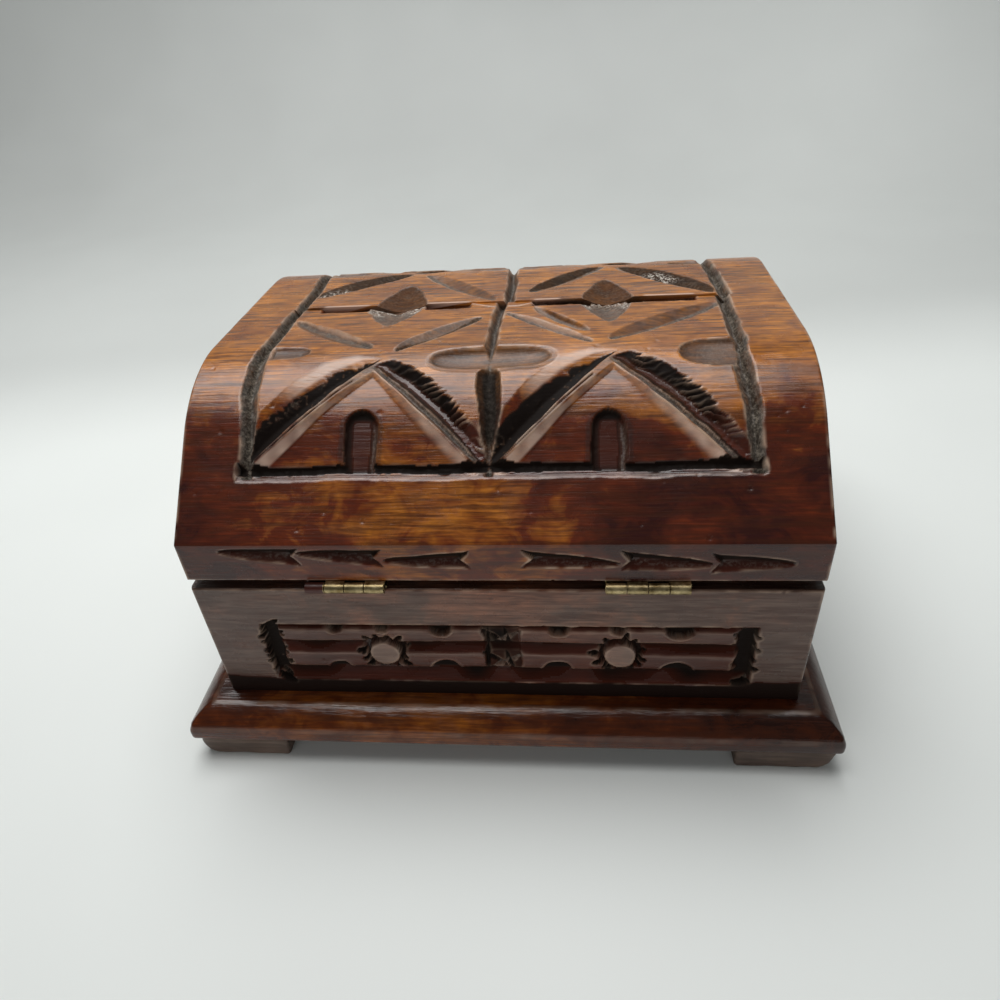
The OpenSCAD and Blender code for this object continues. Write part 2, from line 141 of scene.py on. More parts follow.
class Field:
    """Heights in mm over a face, with x across it and v up it, and masks for its colour, painted shade,
    highlights and reflections among them.
    """

    # Masks in order: grey dust with painted reflections and glints; black and painted shade; painted
    # highlight and pale rub; torn white chips and painted glints; dark red painted shade
    MASKS = ("patina", "dark", "pale", "white", "red")

    def __init__(self, half, rows, seed):
        columns = np.linspace(-half, half, int(round(2 * half / STEP)) + 1)
        self.x, self.v = np.meshgrid(columns, rows)
        self.h = np.zeros_like(self.x)
        # calm also keeps the painted highlight lines off those arrises
        self.calm = np.zeros_like(self.x)          # where an arris stays unrubbed
        self.seed = seed
        self.masks = {name: np.zeros_like(self.x) for name in self.MASKS}
        self.limits = (-half, half, rows[0], rows[-1])

    def rough(self, size, k):
        return noise(self.x, self.v, size, self.seed * 100 + k)

    def cut(self, depth, **tints):
        """Takes the wood down to depth where that is deeper, and tints what it bares."""
        deeper = -depth < self.h
        share = unit(depth / 0.3) * deeper
        self.h = np.where(deeper, -depth, self.h)
        for name in self.MASKS:
            self.masks[name] = self.masks[name] * (1 - share) + tints.get(name, 0) * share

    def tint(self, name, values):
        """Raises a mask to at least these values."""
        self.masks[name] = np.maximum(self.masks[name], values)

    def across(self, p, q):
        """Share of the way from p to q, and distance to the left of that line."""
        dx, dv = q[0] - p[0], q[1] - p[1]
        length = math.hypot(dx, dv)
        rx, rv = self.x - p[0], self.v - p[1]
        return (rx * dx + rv * dv) / length ** 2, (rv * dx - rx * dv) / length, length

    def teeth(self, along, pitch, k):
        """Bites of a gouge along its way: an uneven saw tooth wave from 0 to 1."""
        phase = along / pitch + 1.1 * self.rough(8, k) + 0.45 * self.rough(2.5, k + 1)
        part = phase - np.floor(phase)
        wave = np.where(part < 0.7, part / 0.7, (1 - part) / 0.3)
        return wave * np.clip(0.6 + 0.9 * self.rough(5, k + 2), 0.05, 1)

    def groove(self, offset, width, depth, lean, core, shaded=0, **tints):
        """A V groove about offset = 0. Its floor lies lean of its half width aside, its core is painted
        darker as shade, and so is the half on the shaded side, 1 or -1."""
        s = (offset + 0.4 * self.rough(7, 1) + 0.15 * self.rough(2, 2)) / width
        sides = np.where(s < lean, (s + 1) / (1 + lean), (1 - s) / (1 - lean))
        shade = core * smooth(sides, 0.35, 0.8) + 0.45 * abs(shaded) * smooth(s * shaded, 0, 0.4)
        tints["dark"] = unit(tints.get("dark", 0) + shade)
        rough = 1 + 0.08 * self.rough(1.3, 3) + 0.15 * self.rough(4, 4)
        self.cut(unit(sides * 1.2) * depth * rough, **tints)

    def leaf(self, p, q, left, right, depth, k, left_tint, right_tint, bite=0, floor=0, floor_tint=(0, 0, 0)):
        """A pointed cut from p to q: a floor of half width floor between slopes left and right wide. A tint
        is a part's dust and sheen, its black and painted shade, and its painted highlight and pale rub, and
        bite the chatter on the left."""
        t, s, length = self.across(p, q)
        s = s + 0.3 * self.rough(5, k) + 0.12 * self.rough(1.5, k + 1)
        swell = np.sin(math.pi * unit(t)) ** 0.42
        beside = np.maximum(np.abs(s) - floor * swell, 0) / (np.where(s > 0, left, right) * swell + 1e-6)
        deep = depth * swell * unit(1 - beside)
        deep = deep * (1 - bite * self.teeth(t * length, 2.4, k + 3) * smooth(s, floor + 0.3, floor + 1.5))
        low = fade(np.abs(s), floor - 0.2, floor + 0.15) * (floor > 0)
        parts = zip(("patina", "dark", "pale"), left_tint, right_tint, floor_tint)
        tints = {name: np.where(s > 0, a, b) * (1 - low) + c * low for name, a, b, c in parts}
        self.cut(np.where((t > 0) & (t < 1), deep, 0), **tints)

    def lens(self, cx, cv, rx, rv, depth, tilt, reach, rim, **tints):
        """A smooth hollow with an oval outline and a rim painted pale as a highlight, no wider than reach."""
        dv = self.v - cv - tilt * (self.x - cx) + 0.25 * self.rough(7, 9)
        e = np.abs((self.x - cx) / rx) ** 3.4 + np.abs(dv / rv) ** 2.4
        e = np.where(np.abs(self.x) < reach, e, 1)
        self.cut(depth * unit(1 - e) ** 0.5, pale=rim * smooth(e, 0.86, 0.97), **tints)

    def star(self, cx, cv, left, right, down, depth, k, white, **tints):
        """Half a rounded diamond hollow with unequal arms, torn white in its corners."""
        dx, dv = self.x - cx, np.abs(self.v - cv)
        e = np.where(dx < 0, -dx / left, dx / right) ** 1.25 + (dv / down) ** 1.35 + 0.06 * self.rough(3, k)
        deep = depth * unit(1 - e) ** 0.8
        torn = white * np.maximum(smooth(np.abs(dx), 4, 7) * fade(dv, 6, 11), fade(dv, 1.5, 4))
        bite = 0.35 * self.teeth(dv + 0.5 * dx, 2.4, k + 1) * white
        self.cut(deep * (1 - bite), white=torn, **tints)

    def dart(self, tip, tail, up, down, depth, k):
        """A fishtail cut from its tip to its notched tail, up and down wide."""
        t = (self.x - tip[0]) / (tail[0] - tip[0])
        centre = tip[1] + (tail[1] - tip[1]) * t + 0.15 * self.rough(6, k)
        swell = unit(t) ** 0.42 + 0.16 * smooth(t, 0.88, 1)
        dv = self.v - centre
        side = np.abs(dv) / (np.where(dv > 0, up, down) * swell + 1e-6)
        end = (1 - 0.13 * (1 - side) - t) * abs(tail[0] - tip[0])
        deep = np.minimum(depth * swell * unit(1 - side) * 1.5, np.clip(end, 0, 9) * 2.5)
        lower = smooth(-dv, -0.2, 0.5)
        # Painted light and shade: the upper facet is painted black as shade, the lower one dark red with a
        # band of white specks as glints
        self.cut(np.where((t > 0) & (side < 1), np.clip(deep, 0, depth), 0),
                 dark=0.97 - 0.5 * lower, red=lower, white=0.1 * window(-dv, 0.4, 1.2, 1.6, 2.4))

    def pits(self, count, deepest):
        """Small pits and dents, scattered."""
        rng = np.random.default_rng(self.seed * 100 + 94)
        x0, x1, v0, v1 = self.limits
        step_x, step_v = self.x[0, 1] - self.x[0, 0], (v1 - v0) / (self.x.shape[0] - 1)
        for _ in range(count):
            cx, cv, r = rng.uniform(x0, x1), rng.uniform(v0, v1), rng.uniform(0.5, 1.1)
            i, j = int((cx - x0) / step_x), int((cv - v0) / step_v)
            part = (slice(max(j - 4, 0), j + 5), slice(max(i - 4, 0), i + 5))
            d2 = ((self.x[part] - cx) ** 2 + (self.v[part] - cv) ** 2) / r ** 2
            self.h[part] -= deepest * rng.uniform(0.3, 1) * unit(1 - d2)

    def roll_edges(self, sides, low, high):
        """Rounds the arrises at the face's sides and its low and high edge by these radii."""
        x0, x1, v0, v1 = self.limits
        for distance, r in ((self.x - x0, sides), (x1 - self.x, sides),
                            (self.v - v0, low), (v1 - self.v, high)):
            if r:
                gap = np.clip(r - distance, 0, r)
                self.h -= r - np.sqrt(r * r - gap * gap)

    def finish_masks(self):
        """Rubbed arrises with painted highlight lines, and hollows darkened, read from the heights."""
        near, wide = blur(self.h, 1.2), blur(self.h, 3.5)
        uneven = unit(0.55 + 0.9 * self.rough(3, 95))
        proud = unit((self.h - near - 0.03) / 0.16) * smooth(np.abs(self.v), 1, 3)
        # Proud arrises: rubbed paler and painted with a highlight line
        self.masks["wear"] = proud * uneven * (1 - 0.8 * self.masks["dark"]) * (1 - self.calm)
        # Darker in hollows, by how far they lie below their surroundings
        self.masks["dirt"] = unit((wide - self.h - 0.1) / 0.9)


# -------- mesh building
def linked(name, data):
    thing = bpy.data.objects.new(name, data)
    bpy.context.scene.collection.objects.link(thing)
    return thing


def paint(piece, mask, values):
    layer = piece.data.attributes.new(mask, "FLOAT", "POINT")
    layer.data.foreach_set("value", np.concatenate(values).astype(np.float32))


def new_object(name, points, faces, materials, smooth_count):
    """A mesh piece from points in mm. The first smooth_count faces are shaded smooth."""
    mesh = bpy.data.meshes.new(name)
    mesh.from_pydata((np.asarray(points) * MM).tolist(), [], faces)
    for material in materials:
        mesh.materials.append(material)
    mesh.polygons.foreach_set("use_smooth", np.arange(len(mesh.polygons)) < smooth_count)
    mesh.update()
    return linked(name, mesh)


def skinned(name, rings, material):
    """A closed piece over rings of points in mm, from the lowest to the highest."""
    n, a = len(rings[0]), np.arange(len(rings[0]))
    b = (a + 1) % n
    quads = [quad for low in range(0, (len(rings) - 1) * n, n)
             for quad in np.stack([a + low, b + low, b + low + n, a + low + n], -1).tolist()]
    caps = [list(range(n))[::-1], list(range((len(rings) - 1) * n, len(rings) * n))]
    return new_object(name, np.concatenate(rings), quads + caps, [material], len(quads))


def board(name, field, place, materials, crease=None):
    """A closed board: a carved face, a plain back and plain sides. materials are those of
    the face, the back and the black gouges. crease is a v where the face has an arris."""
    nv, nx = field.x.shape
    face = place(field.x, field.v, field.h).reshape(-1, 3)
    back = place.inner()
    lefts, rights = (back + place.side(x) for x in field.limits[:2])
    points = np.concatenate([face, lefts, rights])
    a = (np.arange(nv - 1)[:, None] * nx + np.arange(nx - 1)[None, :]).ravel()
    quads = np.stack([a, a + 1, a + nx + 1, a + nx], -1).tolist()
    n, k = nv * nx, len(back)
    left, right = list(range(n, n + k)), list(range(n + k, n + 2 * k))
    row0, row1 = list(range(nx)), list(range((nv - 1) * nx, nv * nx))
    col0, col1 = list(range(0, n, nx)), list(range(nx - 1, n, nx))
    caps = [row0[::-1] + [left[0], right[0]], row1 + [right[-1], left[-1]],
            col0 + left[::-1], col1[::-1] + right]
    backs = [[right[i], left[i], left[i + 1], right[i + 1]] for i in range(k - 1)]
    first = len(quads) + len(caps)
    piece = new_object(name, points, quads + caps + backs, materials, len(quads))
    if crease is not None:
        row = int(np.argmin(np.abs(field.v[:, 0] - crease)))
        ends = np.empty(2 * len(piece.data.edges), int)
        piece.data.edges.foreach_get("vertices", ends)
        sharp = ((ends >= row * nx) & (ends < (row + 1) * nx)).reshape(-1, 2).all(1)
        piece.data.edges.foreach_set("use_edge_sharp", sharp)
    field.finish_masks()
    # Faces painted near black, as shade or black wood, get the duller gouge material
    dark = field.masks["dark"]
    black = (dark[1:, 1:] + dark[:-1, 1:] + dark[1:, :-1] + dark[:-1, :-1]).ravel() > 2.2
    slots = np.zeros(len(piece.data.polygons), int)
    slots[:len(quads)][black] = 2
    slots[first:] = 1
    piece.data.polygons.foreach_set("material_index", slots)
    for mask, values in field.masks.items():
        paint(piece, mask, [values.ravel(), np.zeros(2 * k)])
    return piece


def turned(points, quarter_turns):
    """Points turned about the vertical axis."""
    c, s = [(1, 0), (0, 1), (-1, 0), (0, -1)][quarter_turns % 4]
    x, y, z = points[..., 0], points[..., 1], points[..., 2]
    return np.stack([c * x - s * y, s * x + c * y, z], -1)


def leaned(points):
    """Points of the level lid, leaned about the hinge line into its closed place."""
    c, s = math.cos(LEAN), math.sin(LEAN)
    y, z = points[..., 1] - PIN_Y, points[..., 2] - PIN_Z
    return np.stack([points[..., 0], PIN_Y + c * y + s * z, PIN_Z - s * y + c * z], -1)


class LidPlace:
    """Places on the outer face of a lid plank. v runs from the band over to the ridge."""

    def __init__(self, front):
        self.front = front

    def __call__(self, x, v, h):
        parts = [v < 0, v < SLOPE_LEN, v < SHOULDER_U]          # band, slope and shoulder
        turn = np.select(parts, [math.pi / 2, SLOPE_ANGLE, SLOPE_ANGLE - (v - SLOPE_LEN) / SHOULDER_R])
        sine, cosine = np.sin(turn), np.cos(turn)
        top_y = SHOULDER_Y + v - SHOULDER_U
        y = np.select(parts, [BACK_Y, BACK_Y + v * SLOPE_Y, SHOULDER_Y - SHOULDER_R * sine], top_y)
        z = np.select(parts, [BAND_Z + v, BAND_Z + v * SLOPE_Z, SHOULDER_Z + SHOULDER_R * cosine], TOP_Z)
        level = np.stack([x, y - h * sine, z + h * cosine], -1)
        return leaned(turned(level, 2) if self.front else level)

    def inner(self):
        """Inner profile of the plank at x = 0, from low to high."""
        r = SHOULDER_R - PLANK_T
        low_y, low_z = SHOULDER_Y - r * SLOPE_Z, SHOULDER_Z + r * SLOPE_Y
        wall_y = BACK_Y + WALL
        path = [(wall_y, LID_Z), (wall_y, low_z - (low_y - wall_y) * math.tan(SLOPE_ANGLE))]
        for i in range(13):
            a = SLOPE_ANGLE * (1 - i / 12)
            path.append((SHOULDER_Y - r * math.sin(a), SHOULDER_Z + r * math.cos(a)))
        path.append((0, TOP_Z - PLANK_T))
        points = np.array([(0, y, z) for y, z in path])
        return leaned(turned(points, 2) if self.front else points)

    def side(self, x):
        return np.array([-x if self.front else x, 0, 0])


class WallPlace:
    """Places on the outer face of a body board, out from the middle by distance."""

    def __init__(self, distance, quarter_turns):
        self.distance, self.turns = distance, quarter_turns

    def __call__(self, x, v, h):
        return turned(np.stack([x, -self.distance - h, FLOOR_Z + v], -1), self.turns)

    def inner(self):
        y = WALL - self.distance
        return turned(np.array([(0, y, FLOOR_Z), (0, y, RIM_Z)]), self.turns)

    def side(self, x):
        return turned(np.array([x, 0, 0]), self.turns)


# -------- materials
class Shader:
    """Makes the nodes of one material, with grain along x, or with across along y."""

    def __init__(self, name, across=False):
        self.across = across
        self.material = bpy.data.materials.new(name)
        self.material.use_nodes = True
        self.tree = self.material.node_tree
        self.bsdf = self.tree.nodes["Principled BSDF"]
        self.coords = self.tree.nodes.new("ShaderNodeTexCoord").outputs["Object"]

    def node(self, kind, inputs=None, **settings):
        node = self.tree.nodes.new(kind)
        for key, value in settings.items():
            setattr(node, key, value)
        for key, value in (inputs or {}).items():
            self.put(node.inputs[key], value)
        return node

    def put(self, socket, value):
        if isinstance(value, bpy.types.NodeSocket):
            self.tree.links.new(value, socket)
        elif socket.type == "RGBA":
            socket.default_value = (*value, 1)
        else:
            socket.default_value = value

    def math(self, operation, a, b=0, clamp=False):
        node = self.node("ShaderNodeMath", operation=operation, use_clamp=clamp)
        self.put(node.inputs[0], a)
        self.put(node.inputs[1], b)
        return node.outputs[0]

    def times(self, a, b):
        return self.math("MULTIPLY", a, b)

    def plus(self, a, b, clamp=False):
        return self.math("ADD", a, b, clamp)

    def mix(self, factor, a, b):
        node = self.node("ShaderNodeMix", data_type="RGBA")
        self.put(node.inputs["Factor"], factor)
        self.put(node.inputs[6], a)
        self.put(node.inputs[7], b)
        return node.outputs[2]

    def ramp(self, value, low, high, to_low=0, to_high=1, kind="LINEAR"):
        """Takes low to to_low and high to to_high, and stays between those."""
        limits = {"From Min": low, "From Max": high, "To Min": to_low, "To Max": to_high}
        node = self.node("ShaderNodeMapRange", {"Value": value, **limits}, interpolation_type=kind)
        return node.outputs[0]

    def smoothstep(self, *numbers):
        return self.ramp(*numbers, kind="SMOOTHSTEP")

    def texture(self, along, beside, detail=3, rough=0.55, distortion=0):
        """Noise with that many features per metre along the grain and beside it."""
        scale = Vector((beside, along, beside) if self.across else (along, beside, beside))
        place = self.node("ShaderNodeMapping", {"Vector": self.coords, "Scale": scale})
        look = {"Scale": 1, "Detail": detail, "Roughness": rough, "Distortion": distortion}
        return self.node("ShaderNodeTexNoise", {"Vector": place.outputs[0], **look}).outputs["Fac"]

    def mask(self, name):
        return self.node("ShaderNodeAttribute", attribute_name=name).outputs["Fac"]

    def axis(self, name):
        return self.node("ShaderNodeSeparateXYZ", {"Vector": self.coords}).outputs[name]

    def surface(self, color, roughness, bump=None, strength=0, distance=0, **fixed):
        self.put(self.bsdf.inputs["Base Color"], color)
        self.put(self.bsdf.inputs["Roughness"], roughness)
        for key, value in fixed.items():
            self.put(self.bsdf.inputs[key.replace("_", " ")], value)
        if bump is not None:
            node = self.node("ShaderNodeBump", {"Height": bump, "Strength": strength, "Distance": distance})
            self.put(self.bsdf.inputs["Normal"], node.outputs[0])
        return self.material


def carved_wood(name, colors, warmth, gloss=0.19, shine=0.5, across=False):
    """Varnished hardwood with dust in its grooves, black gouges, darkened hollows and rubbed arrises, with
    painted shade, highlights, glints and reflections laid on from its masks. colors go from the darkest to
    the warmest wood, and shine is the specular level."""
    s = Shader(name, across)
    streaks = s.texture(14, 260, 4, 0.6, 0.6)
    pores = s.texture(70, 1300, 3, 0.6)
    blotch = s.texture(34, 40, 3, 0.6, 0.8)
    warm = s.plus(warmth(s), s.ramp(blotch, 0.3, 0.7, -0.22, 0.22))
    warm = s.plus(warm, s.ramp(s.texture(90, 140, 3, 0.6, 1), 0.3, 0.7, -0.16, 0.16))
    warm = s.plus(warm, s.ramp(streaks, 0.3, 0.7, -0.08, 0.08), clamp=True)
    color = s.mix(s.ramp(warm, 0, 0.45), colors[0], colors[1])
    color = s.mix(s.ramp(warm, 0.4, 0.95), color, colors[2])
    pink = s.ramp(s.texture(45, 60, 4, 0.65, 1.2), 0.47, 0.65, 0, 0.55)
    fine = s.texture(60, 700, 3, 0.6, 0.4)
    specks = s.texture(1000, 1000, 4, 0.75)
    # Layers over the wood: dark red painted shade; painted highlight and pale rub; black and painted shade;
    # darkened hollows; grey dust with painted sheen; white chips and painted glints; rubbed arrises with
    # painted highlights
    for share, layer in (
            (s.times(s.ramp(warm, 0.4, 0.8), pink), (0.235, 0.088, 0.048)),
            (s.ramp(pores, 0.42, 0.6, 0.4, 0), (0.03, 0.008, 0.004)),
            (s.ramp(streaks, 0.5, 0.7, 0, 0.55), (0.05, 0.014, 0.006)),
            (s.ramp(fine, 0.48, 0.62, 0, 0.62), (0.045, 0.013, 0.006)),
            (s.mask("red"), s.mix(streaks, (0.03, 0.005, 0.003), (0.15, 0.028, 0.011))),
            (s.times(s.mask("pale"), 0.8), s.mix(streaks, (0.56, 0.36, 0.27), (0.8, 0.6, 0.48))),
            (s.mask("dark"), (0.008, 0.005, 0.004)),
            (s.times(s.mask("dirt"), 0.8), (0.012, 0.008, 0.006)),
            (s.times(s.mask("patina"), s.ramp(s.texture(160, 160, 3), 0.3, 0.6, 0.45, 1)),
             s.mix(s.ramp(specks, 0.45, 0.68), (0.045, 0.037, 0.029), (0.23, 0.195, 0.155))),
            (s.times(s.mask("white"), s.ramp(specks, 0.5, 0.58)), (0.62, 0.57, 0.5)),
            (s.times(s.mask("wear"), s.ramp(blotch, 0.3, 0.7, 0.35, 0.8)), (0.5, 0.36, 0.26))):
        color = s.mix(share, color, layer)
    dull = s.plus(s.times(s.mask("patina"), 0.4), s.times(s.mask("dark"), 0.12))
    roughness = s.plus(dull, s.ramp(s.texture(60, 60, 4), 0.3, 0.7, gloss, gloss + 0.12), clamp=True)
    bump = s.plus(s.times(pores, 0.6), s.times(specks, s.mask("patina")))
    return s.surface(color, roughness, bump, 0.6, 0.0003, Specular_IOR_Level=shine)


def plain_wood(name, dark_color, warm_color, gloss, across=False):
    """Wood without carving."""
    s = Shader(name, across)
    streaks = s.texture(14, 240, 4, 0.6, 0.7)
    pores = s.texture(70, 1300, 3, 0.6)
    blotch = s.texture(30, 30, 3, 0.6, 0.6)
    warm = s.plus(s.ramp(streaks, 0.3, 0.7, 0, 0.7), s.ramp(blotch, 0.3, 0.7, -0.3, 0.4), clamp=True)
    color = s.mix(warm, dark_color, warm_color)
    color = s.mix(s.ramp(pores, 0.42, 0.62, 0.4, 0), color, (0.015, 0.006, 0.004))
    roughness = s.ramp(s.texture(80, 80, 4), 0.3, 0.7, gloss, gloss + 0.2)
    return s.surface(color, roughness, pores, 0.35, 0.0003)


def near_x(s, middle, inner, outer, most, least):
    """most within inner of that x, and down to least at outer from it, in metres."""
    return s.ramp(s.math("ABSOLUTE", s.plus(s.axis("X"), -middle)), inner, outer, most, least)


def lid_warmth(s):
    """Red-brown low on the slopes and amber on the top, and an amber patch painted low on the left as a
    glint.
    """
    above = s.plus(s.axis("Z"), -BAND_Z * MM)
    height = s.ramp(above, 0.0135, 0.036, 0.08, 0.85)
    patch = near_x(s, -0.02, 0.01, 0.085, 0.58, 0)
    low = s.times(s.ramp(above, 0.0215, 0.0105), s.ramp(above, 0, 0.004, 0.65, 1))
    return s.plus(height, s.times(patch, low))


def body_warmth(s):
    return near_x(s, 0, 0, 0.085, 0.75, 0.2)


def plinth_warmth(s):
    return near_x(s, -0.03, 0.01, 0.12, 0.62, 0.1)


KNUCKLE_X = (-0.0534, -0.0536)          # from bare to varnished, in metres


def brass(name):
    """Aged brass with tarnish, and old varnish over the first left knuckle."""
    s = Shader(name)
    spots = s.texture(420, 420, 4, 0.65)
    wide = s.texture(120, 120, 3, 0.6)
    color = s.mix(s.ramp(spots, 0.35, 0.65), (0.24, 0.17, 0.07), (0.68, 0.55, 0.3))
    color = s.mix(s.ramp(wide, 0.48, 0.68, 0, 0.8), color, (0.1, 0.07, 0.03))
    varnished = s.ramp(s.axis("X"), *KNUCKLE_X)
    color = s.mix(varnished, color, (0.05, 0.01, 0.006))
    metal = s.math("SUBTRACT", 0.92, varnished, clamp=True)
    roughness = s.ramp(spots, 0.3, 0.7, 0.28, 0.5)
    return s.surface(color, roughness, spots, 0.25, 0.0002, Metallic=metal)


LID_COLORS = ((0.03, 0.007, 0.006), (0.135, 0.024, 0.007), (0.58, 0.205, 0.022))
BODY_COLORS = ((0.085, 0.055, 0.042), (0.13, 0.075, 0.054), (0.3, 0.12, 0.066))
PLINTH_COLORS = ((0.018, 0.005, 0.003), (0.105, 0.022, 0.004), (0.32, 0.095, 0.01))
lid_wood = carved_wood("lid_wood", LID_COLORS, lid_warmth)
lid_gouges = carved_wood("lid_gouges", LID_COLORS, lid_warmth, 0.5, 0.1)
body_wood = carved_wood("body_wood", BODY_COLORS, body_warmth, 0.22)
body_end_wood = carved_wood("body_end_wood", BODY_COLORS, body_warmth, 0.22, across=True)
body_gouges = carved_wood("body_gouges", BODY_COLORS, body_warmth, 0.42, 0.08)
end_wood = plain_wood("lid_end_wood", (0.04, 0.01, 0.006), (0.18, 0.05, 0.014), 0.2, across=True)
INNER_COLORS = ((0.13, 0.055, 0.025), (0.27, 0.12, 0.05))
inner_wood = plain_wood("inner_wood", *INNER_COLORS, 0.5)
inner_end_wood = plain_wood("inner_end_wood", *INNER_COLORS, 0.5, across=True)
plinth_wood = carved_wood("plinth_wood", PLINTH_COLORS, plinth_warmth, 0.13)
foot_wood = plain_wood("foot_wood", (0.05, 0.032, 0.024), (0.17, 0.115, 0.085), 0.5)
aged_brass = brass("aged_brass")


# -------- the carved lid
BORDER_X = HALF_W - 20
BORDER_U = 22.5
# Widths of the two bevels along their legs, from the foot to the apex
LEFT_BEVEL = ([0, 0.35, 0.55, 1], [4.8, 3.3, 1.8, 1.2])
RIGHT_BEVEL = ([0, 0.3, 0.7, 1], [5, 4.4, 3.2, 1.6])


def gable(f, apex, left_foot, right_foot, k):
    """Two raised legs with a sunk field between them and gouges outside them."""
    lt, ls, length = f.across(left_foot, apex)
    rt, rs, _ = f.across(apex, right_foot)
    rt = 1 - rt
    left_share, right_share = -ls / np.interp(lt, *LEFT_BEVEL), -rs / np.interp(rt, *RIGHT_BEVEL)
    share = unit(np.minimum(left_share, right_share))
    sunk = (1 - (1 - share) ** 1.7) * np.interp(f.v, [BORDER_U, 40, 62], [2.1, 1.8, 0.9])
    # The legs' bevels are painted pale as a sheen, strongest at their feet, crisp on the left leg and soft on
    # the right
    crisp, soft = fade(left_share, 0.66, 0.86), fade(right_share, 0.25, 1)
    rubbed = np.where(left_share < right_share, crisp, soft) * unit(0.8 + 0.3 * f.rough(3, k + 6))
    f.cut(sunk * (f.v > BORDER_U - 1), pale=rubbed * np.interp(f.v, [25, 36, 46, 58], [1, 0.85, 0.45, 0.3]))
    within = smooth(f.v, BORDER_U - 0.5, BORDER_U + 1.5) * (np.abs(f.x) < BORDER_X - 2)
    # The smooth gouge on the left, painted black as shade beside the leg, with painted glints along its
    # fibres and a painted sheen up its outer slope
    bite = f.teeth(lt * length, 3.6, k + 2)
    width = np.interp(lt, [-0.02, 0.15, 0.5, 0.8, 1, 1.12], [7, 10, 12.5, 12.5, 8, 0.1])
    deep = np.interp(lt, [-0.1, 0.1, 0.5, 0.9, 1.1], [2.4, 3.2, 3.4, 2.6, 0])
    land = np.interp(lt, [0, 0.4, 1], [0.9, 1.5, 3])
    edge = (ls - land + 0.2 * f.rough(5, k + 1)) / width
    section = np.interp(edge, [0, 0.07, 0.3, 0.66, 1], [0, 0.85, 1, 0.4, 0])
    reach = np.interp(lt, [0.1, 0.5, 0.85, 1.05], [0.85, 0.66, 0.55, 0.35])
    black = fade(edge + 0.12 * bite + 0.06 * f.rough(2.5, k + 9), reach - 0.06, reach + 0.04)
    light = smooth(edge, 0.58, 0.72) * smooth(lt, 0.38, 0.6)
    fibre = smooth(f.rough(0.9, k + 7) + 0.6 * noise(ls, lt * length / 9, 1.1, k + 8), 0.75, 1.1)
    f.cut(deep * section * (1 - 0.14 * bite * smooth(edge, 0.2, 0.5)) * within * (edge > 0),
          dark=black * smooth(edge, -0.02, 0.03) * (1 - 0.25 * fibre), patina=0.5 * fibre * black,
          pale=0.7 * light)
    on_land = window(ls, 0, 0.4, land - 0.2, land + 0.2) * within * (lt < 1.05) * (lt > 0)
    f.tint("patina", 0.55 * on_land)
    f.cut(0.5 * unit(1 - np.abs(ls - 0.55 * land) / 0.4) * within * (lt < 0.85) * (lt > 0.02), dark=0.9)
    # The dusty groove and the chattered gouge on the right, painted black as shade along its floor, dark red
    # on one facet, with painted glints on its torn ridges
    bite = f.teeth(rt * length + 0.7 * rs, 2.9, k + 5)
    width = np.interp(rt, [-0.02, 0.15, 0.5, 0.8, 1, 1.08], [6.5, 8.5, 11, 11, 8, 0.1])
    deep = np.interp(rt, [-0.1, 0.1, 0.5, 0.9, 1.06], [1.6, 2.3, 3, 2.7, 0])
    edge = (rs - 0.3 + 0.2 * f.rough(5, k + 4)) / (width * (1 - 0.16 * bite))
    section = np.interp(edge, [0, 0.06, 0.14, 0.22, 0.28, 0.58, 1], [0, 0.72, 0.8, 0.5, 0.7, 1, 0])
    torn = bite * smooth(edge, 0.5, 0.66)
    high = smooth(rt, 0.16, 0.42)
    black = np.interp(edge, [0, 0.04, 0.08, 0.2, 0.24, 0.3, 0.42, 0.55, 0.62, 0.97, 1],
                      [0.2, 0.8, 0.35, 0.15, 0.95, 0.95, 0.45, 0.55, 1, 1, 0.4])
    black = black * np.where(edge > 0.36, 0.45 + 0.55 * high, 1)
    dusty = np.interp(edge, [0.03, 0.08, 0.2, 0.24], [0.1, 0.85, 0.95, 0])
    f.cut(deep * section * (1 - 0.6 * torn) * within * (edge > 0),
          dark=black * (1 - 0.25 * smooth(torn, 0.6, 0.95)), red=0.9 * smooth(edge, 0.3, 0.36),
          patina=np.maximum(dusty, 0.35 * smooth(torn, 0.8, 0.97)))


def niche(f, cx, half, top, k):
    """An arched niche that stands on the border groove."""
    rise = unit((f.v - (top - half * 1.1)) / (half * 1.1))
    reach = half * np.sqrt(unit(1 - rise ** 2)) + 1e-6
    e = (f.x - cx + 0.4 * f.rough(5, k)) / reach
    near_rim = (1 - np.abs(e)) * reach
    deep = 3.6 * smooth(near_rim, -0.1, 2.6) * (f.v < top) * (f.v > BORDER_U)
    # Painted shade and reflection: the walls and the top of the niche are painted dark as shadow, with a
    # painted bluish reflection on the right wall
    dark = np.interp(e, [-0.97, -0.85, -0.5, -0.25, 0.3, 0.42, 0.6, 0.85, 0.97],
                     [0.5, 0.95, 0.85, 0.1, 0.1, 0.85, 0.3, 0.9, 0.5])
    dark = np.maximum(dark, smooth(f.v, top - 5.5, top - 2.5))
    bluish = np.interp(e, [0.45, 0.55, 0.7, 0.8], [0, 0.45, 0.45, 0]) * fade(f.v, top - 8, top - 4)
    f.cut(deep, dark=dark, red=0.75, patina=bluish)
    f.calm = np.maximum(f.calm, (f.v < top + 1.5) * fade(np.abs(near_rim), 0.9, 2))
    # A soft painted shade just outside the rim
    f.tint("dark", 0.5 * (f.v < top + 0.8) * smooth(near_rim, -0.9, 0.2) * (f.v > BORDER_U))


def ridge_slot(f, x0, x1, depth, reach, k, **tints):
    """A step cut down to the seam along the ridge."""
    span = window(f.x, x0 - 1.2, x0 + 0.4, x1 - 0.4, x1 + 1.2)
    back = RIDGE_U - f.v + 0.3 * f.rough(3, k)
    f.cut(depth * span * unit((1 - back / reach) * 2), **tints)
